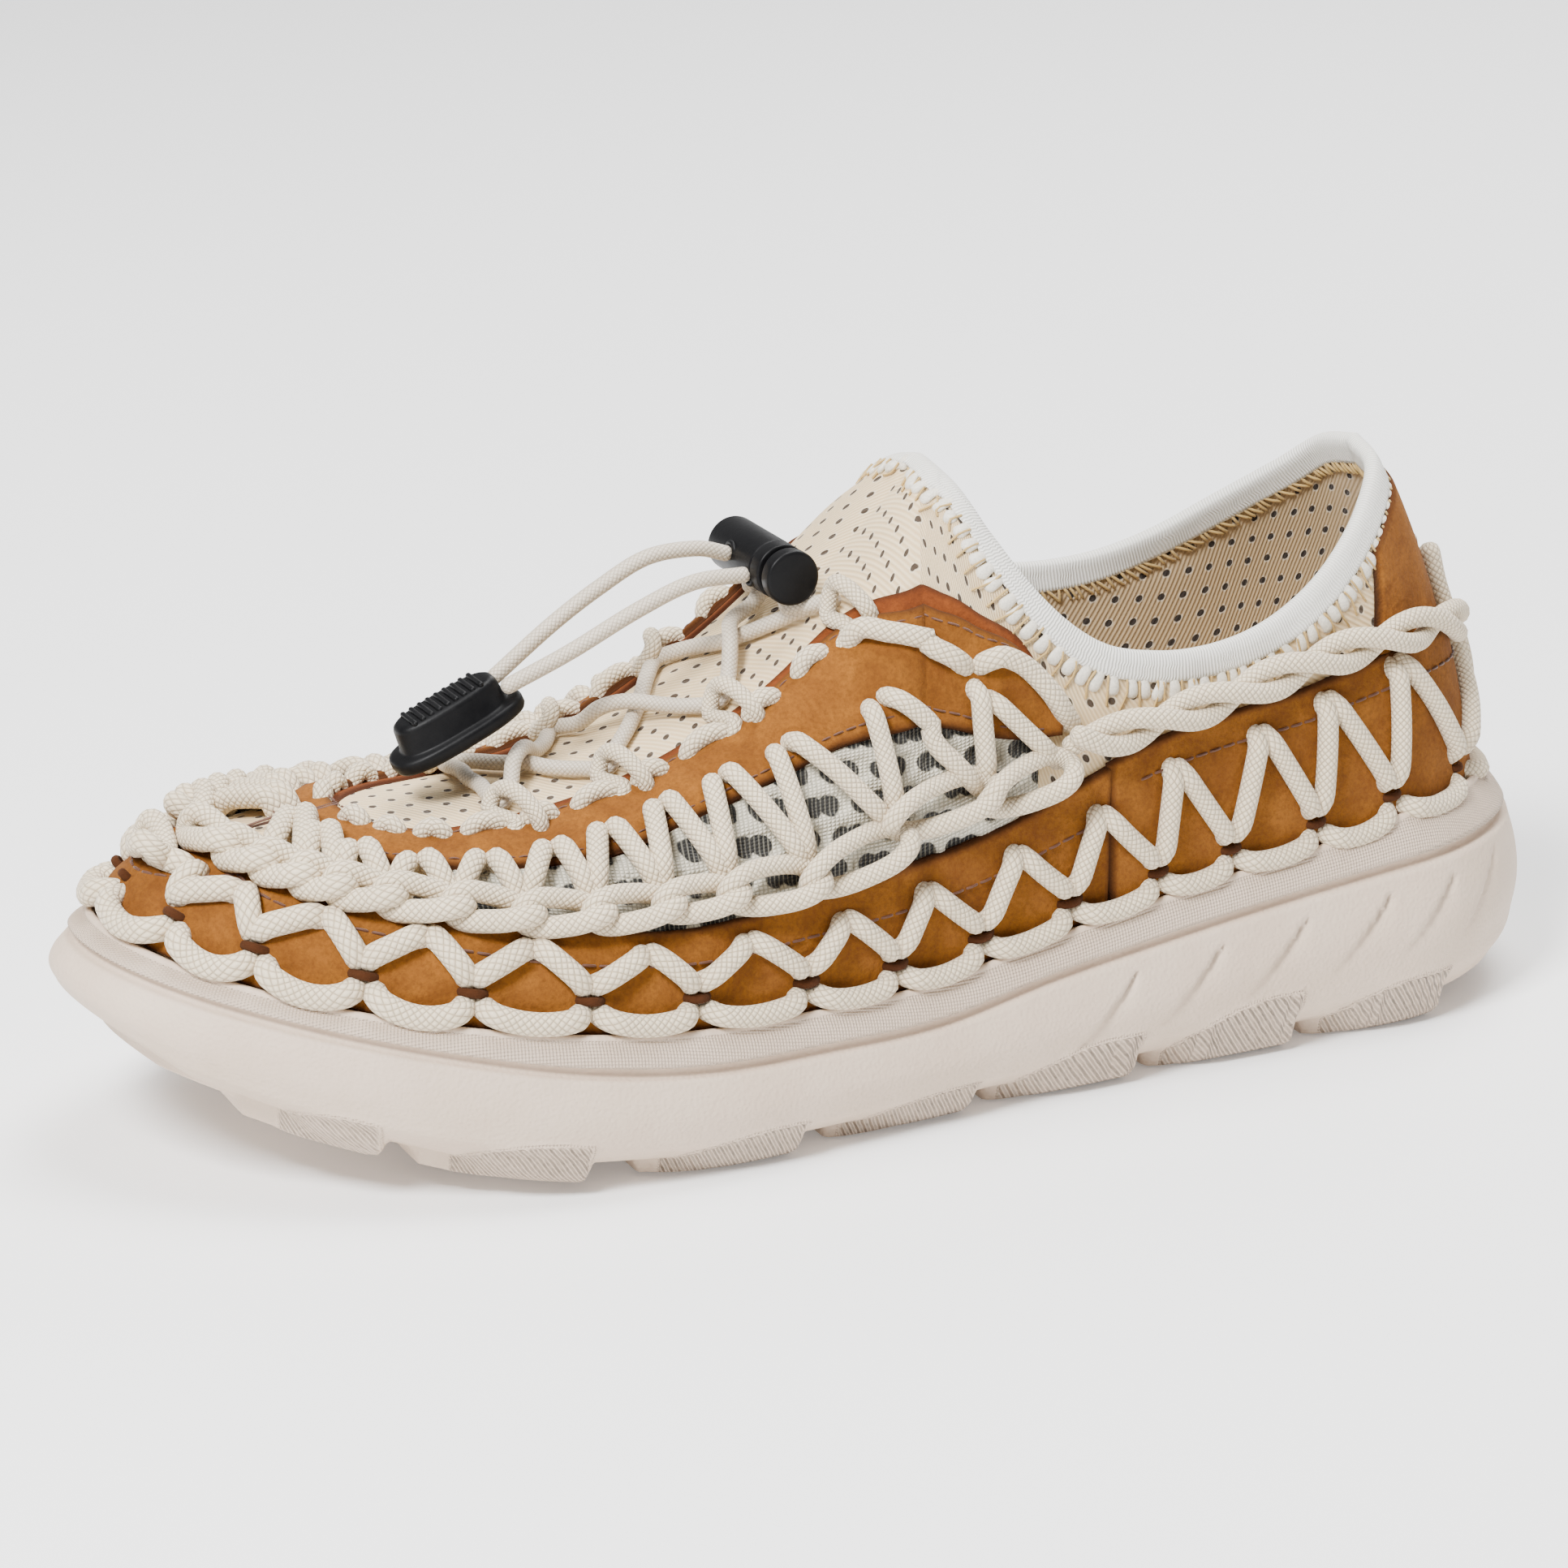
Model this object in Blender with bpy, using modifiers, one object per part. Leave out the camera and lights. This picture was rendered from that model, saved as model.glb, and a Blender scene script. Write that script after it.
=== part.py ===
"""Woven cord slip-on shoe for the left foot, standing empty on its sole.

A thick foam sole carries a stretch bootie with mesh windows. A suede foxing, a rear quarter, an eyestay
and a heel tab lie on the bootie. Thick round cord zigzags through the suede, and a thin elastic cord
with a lock and an end tab draws the throat together.

Metres. +Y runs to the toe and +Z up, so the lateral side of this left shoe is at -X. The origin is on
the flat tread under the heel. A share t runs along the sole from its back (0) to its toe (1), and a
share h runs up the upper from the sole (0) to the collar or the ridge of the vamp (1).
"""

import bmesh
import bpy
import numpy as np

MM = 0.001
LATERAL, MEDIAL = -1, 1

# Driving sizes
SOLE_LENGTH = 294 * MM
BALL_WIDTH = 108 * MM
HEEL_BACK = 46 * MM  # from the sole's back to the origin
LIP_HEIGHT = 43 * MM  # top edge of the sole at the heel
LIP_INSET = 2.5 * MM
TREAD_DEPTH = 3 * MM
LUG_HEIGHT = 10 * MM
LUG_REACH = 24 * MM  # from the rim inward under the sole
LUG_BEVEL = 5 * MM
GROOVE_DEPTH = 1.7 * MM
GROOVE_WIDTH = 2.3 * MM
SHELF = 2.4 * MM  # the ledge inside the lip that the foxing stands behind
FOOT_BEVEL = 3.6 * MM
TREAD_INSET = 9 * MM
HEEL_REST = 15 * MM  # half widths of the two flat spots
BALL_REST = 20 * MM
WALL_BULGE = 2 * MM
CUP_DEPTH = 8 * MM
CUP_DRAFT = 1.4 * MM  # how far the cup narrows towards its floor
TOE_SWING = 6 * MM  # the toe turns towards the other shoe
COLLAR_HEIGHT = 107 * MM
COLLAR_WIDTH = 66 * MM
TONGUE_HEIGHT = 114 * MM
UPPER_INSET = 6.5 * MM  # from the sole's outline to the upper at the lip
UPPER_WALL = 2 * MM
SEAT_DEPTH = 1.5 * MM  # the upper's foot under the lip
SUEDE = 1.3 * MM
MESH = 0.8 * MM
BINDING_WIDTH = 9 * MM
BINDING = 1.1 * MM
FOXING_HEIGHT = 30 * MM
FOXING_TUCK = 1 * MM  # how far the foxing reaches below the lip
CORD_RADIUS = 2.4 * MM
ELASTIC_RADIUS = 1.5 * MM
INSOLE = 4 * MM
LOCK_RADIUS = 5.2 * MM
LOCK_LENGTH = 27 * MM
LOCK_TRAVEL = 1.2 * MM
LOCK_CAP = 3.2 * MM
LOCK_BORE = 3.2 * MM  # radius
LOCK_BORE_DEPTH = 12 * MM
LOCK_BEVEL = 0.6 * MM
RUN_SPREAD = 4 * MM  # from the middle of the lock to each of its two cord holes
RUN_RISE = 1 * MM
TAB_LENGTH = 27 * MM
TAB_WIDTH = 13 * MM
TAB_HEIGHT = 9 * MM
GAP = 0.3 * MM  # between pieces that touch on the real shoe
LAYER_GAP = 0.6 * MM  # between curved layers, whose facets bow towards each other

# Steps of the meshes
RIM_STEPS = 26  # from heel to toe along one side
REAR_STEPS = 20  # columns of the upper from the heel to the tongue, along one side
FRONT_STEPS = 18  # and from the tongue to the toe
UPPER_ROWS = 7

# The sole's plan: share of the length, half widths as shares of the ball's width
PLAN = (
    (0.00, 0.360, 0.360),
    (0.14, 0.382, 0.372),
    (0.30, 0.400, 0.350),
    (0.45, 0.430, 0.330),
    (0.58, 0.475, 0.400),
    (0.70, 0.500, 0.465),
    (0.82, 0.475, 0.460),
    (1.00, 0.400, 0.400),
)
HEEL_ROUND = 0.145
TOE_ROUND = 0.27
ROUND_POWER = 2.15

# The sole's side: share of the length, ground, groove and lip as shares of the lip's height, inset of the
# lip as a share of its named inset
SIDE = (
    (0.00, 0.000, 0.814, 0.993, 3.40),
    (0.06, 0.000, 0.814, 1.007, 2.80),
    (0.12, 0.000, 0.791, 1.000, 2.08),
    (0.20, 0.000, 0.744, 0.921, 1.40),
    (0.33, 0.000, 0.640, 0.814, 1.00),
    (0.41, 0.000, 0.565, 0.730, 1.00),
    (0.49, 0.000, 0.474, 0.642, 1.00),
    (0.58, 0.000, 0.474, 0.633, 1.00),
    (0.66, 0.000, 0.488, 0.649, 1.00),
    (0.74, 0.035, 0.553, 0.702, 1.00),
    (0.82, 0.112, 0.658, 0.781, 1.00),
    (0.90, 0.267, 0.777, 0.879, 1.16),
    (0.96, 0.414, 0.877, 0.972, 1.52),
    (1.00, 0.605, 0.953, 1.044, 2.00),
)
SIDE_COLUMNS = ("run", "ground", "groove", "lip", "inset")

# The collar's edge: share of the rim below it, share of the length, half width as a share of the
# collar's width, height as a share of the collar's height
COLLAR = (
    (0.000, 0.112, 0.000, 1.000),
    (0.030, 0.117, 0.144, 0.981),
    (0.070, 0.138, 0.258, 0.921),
    (0.120, 0.172, 0.364, 0.850),
    (0.180, 0.212, 0.432, 0.785),
    (0.250, 0.262, 0.477, 0.743),
    (0.320, 0.320, 0.500, 0.743),
    (0.380, 0.368, 0.492, 0.785),
    (0.425, 0.400, 0.432, 0.869),
    (0.460, 0.420, 0.318, 0.963),
    (0.485, 0.430, 0.167, 1.037),
    (0.500, 0.434, 0.000, 1.065),
)
TONGUE = 0.5

# The ridge from the tongue to the toe: share of the rim, share of the length, share of the tongue's height
RIDGE = (
    (0.50, 0.434, 1.000),
    (0.55, 0.490, 0.860),
    (0.60, 0.552, 0.728),
    (0.65, 0.615, 0.627),
    (0.70, 0.672, 0.566),
    (0.76, 0.740, 0.535),
    (0.82, 0.805, 0.522),
    (0.88, 0.865, 0.509),
    (0.94, 0.915, 0.487),
    (1.00, 0.935, 0.470),
)

# The upper's cross section: share of the rim, angle at the top, power, straightness of the wall
SECTION = (
    (0.00, 0.55, 2.00, 0.50),
    (0.12, 0.60, 2.00, 0.45),
    (0.25, 0.95, 2.00, 0.25),
    (0.38, 1.25, 2.00, 0.03),
    (0.50, 1.50, 2.00, 0.00),
    (0.60, 1.57, 2.04, 0.00),
    (0.85, 1.57, 2.10, 0.00),
    (1.00, 1.57, 2.00, 0.00),
)

# Heights above the lip as shares of the foxing's height: share of the rim, foxing's top, upper holes of
# the zigzag, course of the collar cord
FOXING = (
    (0.00, 0.95, 0.86, 1.06),
    (0.12, 0.97, 0.84, 1.08),
    (0.20, 0.98, 0.80, 1.14),
    (0.28, 1.00, 0.75, 1.15),
    (0.34, 0.97, 0.68, 1.18),
    (0.38, 0.90, 0.61, 1.22),
    (0.43, 0.81, 0.57, 1.22),
    (0.50, 0.76, 0.52, 1.22),
    (0.58, 0.67, 0.48, 1.22),
    (0.66, 0.56, 0.44, 1.22),
    (0.74, 0.54, 0.42, 1.22),
    (0.84, 0.57, 0.42, 1.22),
    (0.92, 0.57, 0.42, 1.22),
    (1.00, 0.55, 0.42, 1.22),
)
FOXING_COLUMNS = ("run", "top", "holes", "collar cord")
QUARTER_FRONT = 0.36  # where the rear quarter starts

# The eyestay from its lateral wing to the ridge before the slot: share of its run, lower edge (share of the
# rim, share h), throat edge (share of the rim, share h)
EYESTAY = (
    (0.00, 0.400, 0.54, 0.400, 0.66),
    (0.06, 0.430, 0.47, 0.430, 0.71),
    (0.14, 0.470, 0.41, 0.470, 0.63),
    (0.22, 0.510, 0.38, 0.510, 0.58),
    (0.30, 0.550, 0.44, 0.550, 0.69),
    (0.40, 0.600, 0.49, 0.600, 0.71),
    (0.50, 0.650, 0.53, 0.650, 0.74),
    (0.60, 0.700, 0.54, 0.700, 0.76),
    (0.71, 0.760, 0.57, 0.757, 0.76),
    (0.81, 0.812, 0.62, 0.800, 0.77),
    (0.87, 0.842, 0.68, 0.820, 0.82),
    (0.92, 0.862, 0.77, 0.832, 0.88),
    (0.96, 0.874, 0.88, 0.838, 0.94),
    (1.00, 0.879, 1.00, 0.840, 1.00),
)
EYESTAY_STEPS = 7  # columns round its front, where the two edges no longer lie over one another

# Lug pads along the rim: shares of the length where each starts and ends, share of the pads' height
LUGS = (
    (0.106, 0.214, 1.00),
    (0.225, 0.335, 1.15),
    (0.345, 0.455, 0.95),
    (0.465, 0.573, 0.65),
    (0.592, 0.703, 0.70),
    (0.735, 0.833, 0.80),
    (0.856, 0.925, 0.70),
)
# Triangular cuts in the heel's wall: share of the length at each apex
SLASHES = (0.060, 0.105, 0.158, 0.223, 0.287, 0.352)
SLASH_HEIGHT = 15 * MM
SLASH_DEPTH = 1.4 * MM
SLASH_REACH = 0.055  # share of the length that the long leg runs

# Where the two flat spots lie, as shares of the length
HEEL_REST_RUN = (0.115, 0.215)
BALL_REST_RUN = (0.56, 0.66)

ZIGZAGS = 34  # round the foxing

# Course of the chain of links along the window and over the vamp: share of the rim, share h
CHAIN = (
    (0.390, 0.51),
    (0.410, 0.42),
    (0.450, 0.32),
    (0.500, 0.25),
    (0.550, 0.24),
    (0.600, 0.27),
    (0.650, 0.325),
    (0.700, 0.355),
    (0.760, 0.38),
    (0.800, 0.42),
    (0.835, 0.46),
    (0.860, 0.50),
    (0.880, 0.55),
    (0.902, 0.64),
    (0.917, 0.73),
    (0.930, 0.86),
    (0.938, 1.00),
)

# The zigzag between the eyestay and the chain: share of the rim and share h of each upper hole, share of
# the rim where the cord meets the chain behind it
VAMP_HOLES = (
    (0.463, 0.50, 0.405),
    (0.532, 0.475, 0.457),
    (0.592, 0.55, 0.522),
    (0.630, 0.59, 0.582),
    (0.667, 0.615, 0.635),
    (0.703, 0.615, 0.677),
    (0.738, 0.61, 0.722),
    (0.778, 0.61, 0.765),
    (0.817, 0.63, 0.805),
    (0.848, 0.71, 0.842),
    (0.862, 0.83, 0.868),
    (0.868, 0.94, 0.886),
)

# The elastic's hooks down the throat: share of the rim, share h
HOOKS = (
    (0.550, 0.76),
    (0.620, 0.79),
    (0.688, 0.82),
    (0.755, 0.82),
)

parts = bpy.data.collections.new("woven_cord_shoe")
cutters = bpy.data.collections.new("cutters")


def clear_scene():
    for obj in list(bpy.data.objects):
        bpy.data.objects.remove(obj, do_unlink=True)
    bpy.context.scene.collection.children.link(parts)
    bpy.context.scene.collection.children.link(cutters)


def material(name, colour, roughness, metallic=0.0):
    made = bpy.data.materials.new(name)
    made.use_nodes = True
    shader = made.node_tree.nodes["Principled BSDF"]
    shader.inputs["Base Color"].default_value = (*colour, 1.0)
    shader.inputs["Roughness"].default_value = roughness
    shader.inputs["Metallic"].default_value = metallic
    return made


def table(rows, column, s, flat_start=False, flat_end=False):
    """A smooth curve through one column of a table; a flat end has no slope."""
    rows = np.asarray(rows, float)
    x = rows[:, 0]
    y = rows[:, column]
    slope = np.gradient(y, x)
    if flat_start:
        slope[0] = 0
    if flat_end:
        slope[-1] = 0
    s = np.clip(np.asarray(s, float), x[0], x[-1])
    i = np.clip(np.searchsorted(x, s, side="right") - 1, 0, len(x) - 2)
    step = x[i + 1] - x[i]
    u = (s - x[i]) / step
    rise = (3 - 2 * u) * u**2
    bend = ((1 - u) ** 2 * u * slope[i] - (1 - u) * u**2 * slope[i + 1]) * step
    return y[i] + (y[i + 1] - y[i]) * rise + bend


def ease(start, end, s):
    u = np.clip((np.asarray(s, float) - start) / (end - start), 0, 1)
    return u * u * (3 - 2 * u)


def share(phi):
    """Share of the length at an angle round the shoe: heel 0, toe pi, back by the medial side."""
    return (1 - np.cos(phi)) / 2


def side_of(phi):
    return np.where(np.sin(phi) >= 0, LATERAL, MEDIAL)


def angle(t, side=LATERAL):
    phi = np.arccos(np.clip(1 - 2 * np.asarray(t, float), -1, 1))
    return phi if side == LATERAL else 2 * np.pi - phi


def plan(phi):
    """The sole's outline."""
    t = share(phi)
    side = side_of(phi)
    heel = np.clip(1 - t / HEEL_ROUND, 0, 1) ** ROUND_POWER
    toe = np.clip(1 - (1 - t) / TOE_ROUND, 0, 1) ** ROUND_POWER
    rounding = np.maximum((1 - heel) * (1 - toe), 0) ** (1 / ROUND_POWER)
    half = np.where(side < 0, table(PLAN, 1, t), table(PLAN, 2, t)) * BALL_WIDTH
    x = side * half * rounding + TOE_SWING * ease(0.6, 1.0, t)
    return np.stack([x, t * SOLE_LENGTH - HEEL_BACK], -1)


def rim(phi, out):
    """The outline moved outward."""
    step = 2e-3
    along = plan(phi + step) - plan(phi - step)
    normal = np.stack([-along[..., 1], along[..., 0]], -1)
    normal /= np.linalg.norm(normal, axis=-1, keepdims=True)
    return plan(phi) + normal * np.broadcast_to(out, np.shape(phi))[..., None]


def level(name, t):
    """Height of one of the sole's lines: its ground, groove or lip."""
    return table(SIDE, SIDE_COLUMNS.index(name), t) * LIP_HEIGHT


def ground(t):
    rows = np.asarray(SIDE)
    return np.interp(t, rows[:, 0], rows[:, SIDE_COLUMNS.index("ground")]) * LIP_HEIGHT


def lip_inset(t):
    return table(SIDE, SIDE_COLUMNS.index("inset"), t) * LIP_INSET


def feather_inset(t):
    """From the outline to the upper's outer face where it meets the sole."""
    return UPPER_INSET - LIP_INSET + lip_inset(t)


def top_edge(phi):
    """The collar's edge behind the tongue, and the ridge of the vamp before it."""
    t = share(phi)
    rear = np.minimum(t, TONGUE)
    front = np.maximum(t, TONGUE)
    behind = t < TONGUE
    half = side_of(phi) * table(COLLAR, 2, rear, flat_end=True) * COLLAR_WIDTH
    along = np.where(
        behind,
        table(COLLAR, 1, rear, flat_end=True),
        table(RIDGE, 1, front, flat_start=True),
    )
    height = np.where(
        behind,
        table(COLLAR, 3, rear, flat_end=True) * COLLAR_HEIGHT,
        table(RIDGE, 2, front, flat_start=True) * TONGUE_HEIGHT,
    )
    x = np.where(behind, half, 0) + TOE_SWING * ease(0.6, 1.0, along)
    return np.stack([x, along * SOLE_LENGTH - HEEL_BACK, height], -1)


def seat_height(t):
    """Underside of the upper, a little below the lip."""
    return level("lip", t) - SEAT_DEPTH


def upper(phi, h):
    """The bootie's outer face."""
    phi, h = np.broadcast_arrays(np.asarray(phi, float), np.asarray(h, float))
    t = share(phi)
    foot = rim(phi, -feather_inset(t))
    low = seat_height(t)
    top = top_edge(phi)
    turn = table(SECTION, 1, t)
    power = 2 / table(SECTION, 2, t)
    straight = table(SECTION, 3, t)
    inward = (1 - np.maximum(np.cos(h * turn), 0) ** power) / (1 - np.maximum(np.cos(turn), 0) ** power)
    inward = inward * (1 - straight) + h * straight
    upward = np.sin(h * turn) ** power / np.sin(turn) ** power
    return np.stack(
        [
            foot[..., 0] + (top[..., 0] - foot[..., 0]) * inward,
            foot[..., 1] + (top[..., 1] - foot[..., 1]) * inward,
            low + (top[..., 2] - low) * upward,
        ],
        -1,
    )


def lifted(phi, h, out):
    """A point over the bootie's outer face, or under it where out is negative."""
    phi, h, out = np.broadcast_arrays(np.asarray(phi, float), np.asarray(h, float), np.asarray(out, float))
    step = 2e-3
    inside = np.clip(h, 0.02, 0.98)
    up = upper(phi, inside + step) - upper(phi, inside - step)
    round_ = upper(phi + step, inside) - upper(phi - step, inside)
    normal = np.cross(up, round_)
    normal /= np.linalg.norm(normal, axis=-1, keepdims=True)
    return upper(phi, h) + normal * out[..., None]


def height_share(t, above_lip):
    """The share h at a height above the lip."""
    low = seat_height(t)
    top = top_edge(angle(t))[..., 2]
    turn = table(SECTION, 1, t)
    power = 2 / table(SECTION, 2, t)
    rise = np.clip((level("lip", t) + above_lip - low) / (top - low), 0, 1)
    sine = np.clip(rise * np.sin(turn) ** power, 0, 1) ** (1 / power)
    return np.arcsin(np.clip(sine, 0, 1)) / turn


def foxing_share(name, t):
    """The share h of the foxing's top, its upper holes or the collar cord."""
    return height_share(t, table(FOXING, FOXING_COLUMNS.index(name), t) * FOXING_HEIGHT)


def smooth_route(points, count, closed=False):
    """Points spaced evenly along a smooth curve through a few given points."""
    points = np.asarray(points, float)
    if closed:
        points = np.vstack([points[-2:], points, points[:3]])
    else:
        points = np.vstack([2 * points[0] - points[1], points, 2 * points[-1] - points[-2]])
    fine = []
    for a, b, c, d in zip(points, points[1:], points[2:], points[3:]):
        for u in np.linspace(0, 1, 12, endpoint=False):
            fine.append(
                0.5 * (2 * b + (c - a) * u + (2 * a - 5 * b + 4 * c - d) * u**2 + (3 * b - a - 3 * c + d) * u**3)
            )
    if closed:
        fine = fine[12 : 12 * (len(points) - 4) + 13]
    else:
        fine.append(points[-2])
    fine = np.array(fine)
    run = np.concatenate([[0], np.cumsum(np.linalg.norm(np.diff(fine, axis=0), axis=1))])
    wanted = np.linspace(0, run[-1], count + 1)[:-1] if closed else np.linspace(0, run[-1], count)
    return np.stack([np.interp(wanted, run, fine[:, i]) for i in range(3)], -1)


def link(obj, look):
    parts.objects.link(obj)
    obj.data.materials.append(look)
    return obj


def mesh_object(name, points, faces, look, smooth=True):
    """A mesh object with its doubles merged and its faces turned outward."""
    data = bpy.data.meshes.new(name)
    data.from_pydata([tuple(p) for p in np.reshape(points, (-1, 3))], [], faces)
    shaped = bmesh.new()
    shaped.from_mesh(data)
    bmesh.ops.remove_doubles(shaped, verts=shaped.verts, dist=1e-6)
    bmesh.ops.dissolve_degenerate(shaped, edges=shaped.edges, dist=1e-6)
    bmesh.ops.recalc_face_normals(shaped, faces=shaped.faces)
    if shaped.calc_volume(signed=True) < 0:
        bmesh.ops.reverse_faces(shaped, faces=shaped.faces)
    shaped.to_mesh(data)
    shaped.free()
    if smooth:
        data.shade_smooth()
        data.set_sharp_from_angle(angle=0.8)
    return link(bpy.data.objects.new(name, data), look)


def grid_faces(rows, columns, closed_rows=False, closed_columns=False):
    """Quads of a grid whose points are numbered row by row."""
    faces = []
    for i in range(rows if closed_rows else rows - 1):
        for j in range(columns if closed_columns else columns - 1):
            a, b = i * columns, (i + 1) % rows * columns
            k = (j + 1) % columns
            faces.append((a + j, a + k, b + k, b + j))
    return faces


def ladder(first, count):
    """Faces across a ring whose two sides share their shares of the length."""
    faces = [(first, first + 1, first + count - 1)]
    half = count // 2
    for k in range(1, half - 1):
        faces.append((first + k, first + k + 1, first + count - k - 1, first + count - k))
    faces.append((first + half - 1, first + half, first + half + 1))
    return faces


def ring_solid(name, rings, look, smooth=True):
    """A closed solid of rings round the shoe, with both end rings laddered shut."""
    count = len(rings[0])
    faces = grid_faces(len(rings), count, closed_columns=True)
    faces += ladder(0, count) + ladder((len(rings) - 1) * count, count)
    return mesh_object(name, np.concatenate(rings), faces, look, smooth)


def sheet_solid(name, outer, inner, look, closed=False, smooth=True):
    """A sheet between two grids of points (columns, rows, 3)."""
    columns, rows = outer.shape[:2]
    section = np.concatenate([outer, inner[:, ::-1]], axis=1)
    faces = grid_faces(columns, 2 * rows, closed_rows=closed, closed_columns=True)
    if not closed:
        faces.append(tuple(range(2 * rows)))
        faces.append(tuple(range((columns - 1) * 2 * rows, columns * 2 * rows)))
    return mesh_object(name, section, faces, look, smooth)


def band(name, phis, low, high, rows, thickness, look, closed=False, out=None):
    """A layer over the bootie between two shares h, given for each column."""
    base = LAYER_GAP if out is None else out
    h = low[:, None] + (high - low)[:, None] * np.linspace(0, 1, rows)
    outer = lifted(phis[:, None], h, base + thickness)
    inner = lifted(phis[:, None], h, base)
    return sheet_solid(name, outer, inner, look, closed)


def cord(name, points, radius, look, closed=False, sides=1):
    """A round cord as a curve with a bevel."""
    data = bpy.data.curves.new(name, "CURVE")
    data.dimensions = "3D"
    data.bevel_depth = radius
    data.bevel_resolution = sides
    data.use_fill_caps = not closed
    spline = data.splines.new("POLY")
    spline.points.add(len(points) - 1)
    for point, place in zip(spline.points, points):
        point.co = (*place, 1)
    spline.use_cyclic_u = closed
    return link(bpy.data.objects.new(name, data), look)


def cutter_object(name, points, faces):
    obj = mesh_object(name, points, faces, LOOKS["foam"], smooth=False)
    parts.objects.unlink(obj)
    cutters.objects.link(obj)
    obj.hide_render = True
    obj.display_type = "WIRE"
    return obj


def boolean(obj, other, operation):
    cut = obj.modifiers.new(operation.lower(), "BOOLEAN")
    cut.operation = operation
    cut.solver = "EXACT"
    cut.object = other


def rim_angles(steps=RIM_STEPS):
    return np.arange(2 * steps) * np.pi / steps


def rim_ring(phi, out, height):
    """Points round the shoe at a distance from the outline and a height."""
    return np.column_stack([rim(phi, out), np.broadcast_to(height, phi.shape)])


def lug_blocks():
    """One closed block for each lug pad, all in one mesh; each follows the sole's rim."""
    points, faces = [], []
    steps = 3
    for start, end, tall in LUGS:
        for side in (LATERAL, MEDIAL):
            first = len(points)
            for i, t in enumerate(np.linspace(start, end, steps + 1)):
                full = 0 < i < steps
                face = WALL_BULGE - (0.6 * MM if full else 1.5 * MM)
                high = tall * LUG_HEIGHT
                profile = (
                    (face, high if full else 0.85 * high),
                    (-0.2 * LUG_BEVEL, 0.36 * LUG_HEIGHT),
                    (-LUG_BEVEL, 0.0),
                    (-LUG_REACH, 0.0),
                    (-LUG_REACH, 2 * TREAD_DEPTH),
                    (-2 * LUG_BEVEL, high + 1.5 * MM),
                )
                for out, height in profile:
                    points.append((*rim(np.array(angle(t, side)), out), ground(t) + height))
            corners = len(profile)
            for k in range(steps * corners):
                block = first + k - k % corners
                n = (k + 1) % corners
                faces.append((first + k, block + n, block + corners + n, first + corners + k))
            faces.append(tuple(first + k for k in range(corners)))
            faces.append(tuple(first + steps * corners + k for k in range(corners)))
    return points, faces


def rest_pads():
    """Two flat pads on the middle line, under the heel and under the forefoot."""
    points, faces = [], []
    for (start, end), half in ((HEEL_REST_RUN, HEEL_REST), (BALL_REST_RUN, BALL_REST)):
        first = len(points)
        for height in (0.0, 2 * TREAD_DEPTH):
            for t, x in ((start, -half), (start, half), (end, half), (end, -half)):
                points.append((x, t * SOLE_LENGTH - HEEL_BACK, height))
        faces += [tuple(first + k for k in range(4)), tuple(first + 4 + k for k in range(4))]
        for k in range(4):
            n = (k + 1) % 4
            faces.append((first + k, first + n, first + 4 + n, first + 4 + k))
    return points, faces


def slash_cutters():
    """Shallow three-sided cuts in both walls of the heel: deep at the apex, level at the foot."""
    points, faces = [], []
    proud = WALL_BULGE + 1 * MM
    for apex in SLASHES:
        for side in (LATERAL, MEDIAL):
            high = level("groove", apex) - 3 * MM
            first = len(points)
            for t, height, out in (
                (apex, high, proud),
                (apex + SLASH_REACH, high - SLASH_HEIGHT, proud),
                (apex - 0.2 * SLASH_REACH, high - 0.9 * SLASH_HEIGHT, proud),
                (apex, high - 1 * MM, -SLASH_DEPTH),
            ):
                points.append((*rim(np.array(angle(t, side)), out), height))
            for trio in ((0, 1, 2), (0, 1, 3), (1, 2, 3), (2, 0, 3)):
                faces.append(tuple(first + k for k in trio))
    return points, faces


def make_sole():
    phi = rim_angles()
    t = share(phi)
    floor, groove, lip = ground(t), level("groove", t), level("lip", t)
    inset, foot = lip_inset(t), feather_inset(t)
    lean = (inset - LIP_INSET) / 2  # the walls lean in at heel and toe
    bulge = WALL_BULGE * ease(0.03, 0.16, t)
    wall = groove - floor
    seat = lip - SEAT_DEPTH - 2 * GAP
    cup = -foot - UPPER_WALL
    profile = (
        (cup - CUP_DRAFT, lip - CUP_DEPTH),
        (cup - CUP_DRAFT / 2, seat),
        (-foot + SHELF, seat),
        (-inset - 0.9 * MM, lip),
        (-inset, lip - 0.6 * MM),
        (-(lean + inset) / 2, (groove + lip) / 2),
        (-lean - 0.5 * MM, groove + 0.4 * GROOVE_WIDTH),
        (-lean - GROOVE_DEPTH, groove),
        (-lean + 0.2 * MM, groove - 0.6 * GROOVE_WIDTH),
        (bulge, floor + 0.55 * wall),
        (bulge - 0.8 * MM, floor + 0.33 * wall),
        (bulge - FOOT_BEVEL, floor + 0.13 * wall + TREAD_DEPTH),
        (bulge - TREAD_INSET, floor + TREAD_DEPTH),
    )
    sole = ring_solid("sole", [rim_ring(phi, out, height) for out, height in profile], LOOKS["foam"])
    boolean(sole, cutter_object("lug_pads", *lug_blocks()), "UNION")
    boolean(sole, cutter_object("rest_pads", *rest_pads()), "UNION")
    boolean(sole, cutter_object("slashes", *slash_cutters()), "DIFFERENCE")


def make_insole():
    phi = rim_angles(20)
    t = share(phi)
    edge = -feather_inset(t) - UPPER_WALL - CUP_DRAFT
    top = level("lip", t) - CUP_DEPTH
    rings = [
        rim_ring(phi, edge - 2.5 * GAP, top + GAP + INSOLE),
        rim_ring(phi, edge - 2.5 * GAP, top + 2 * GAP),
    ]
    ring_solid("insole", rings, LOOKS["lining"])


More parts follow.
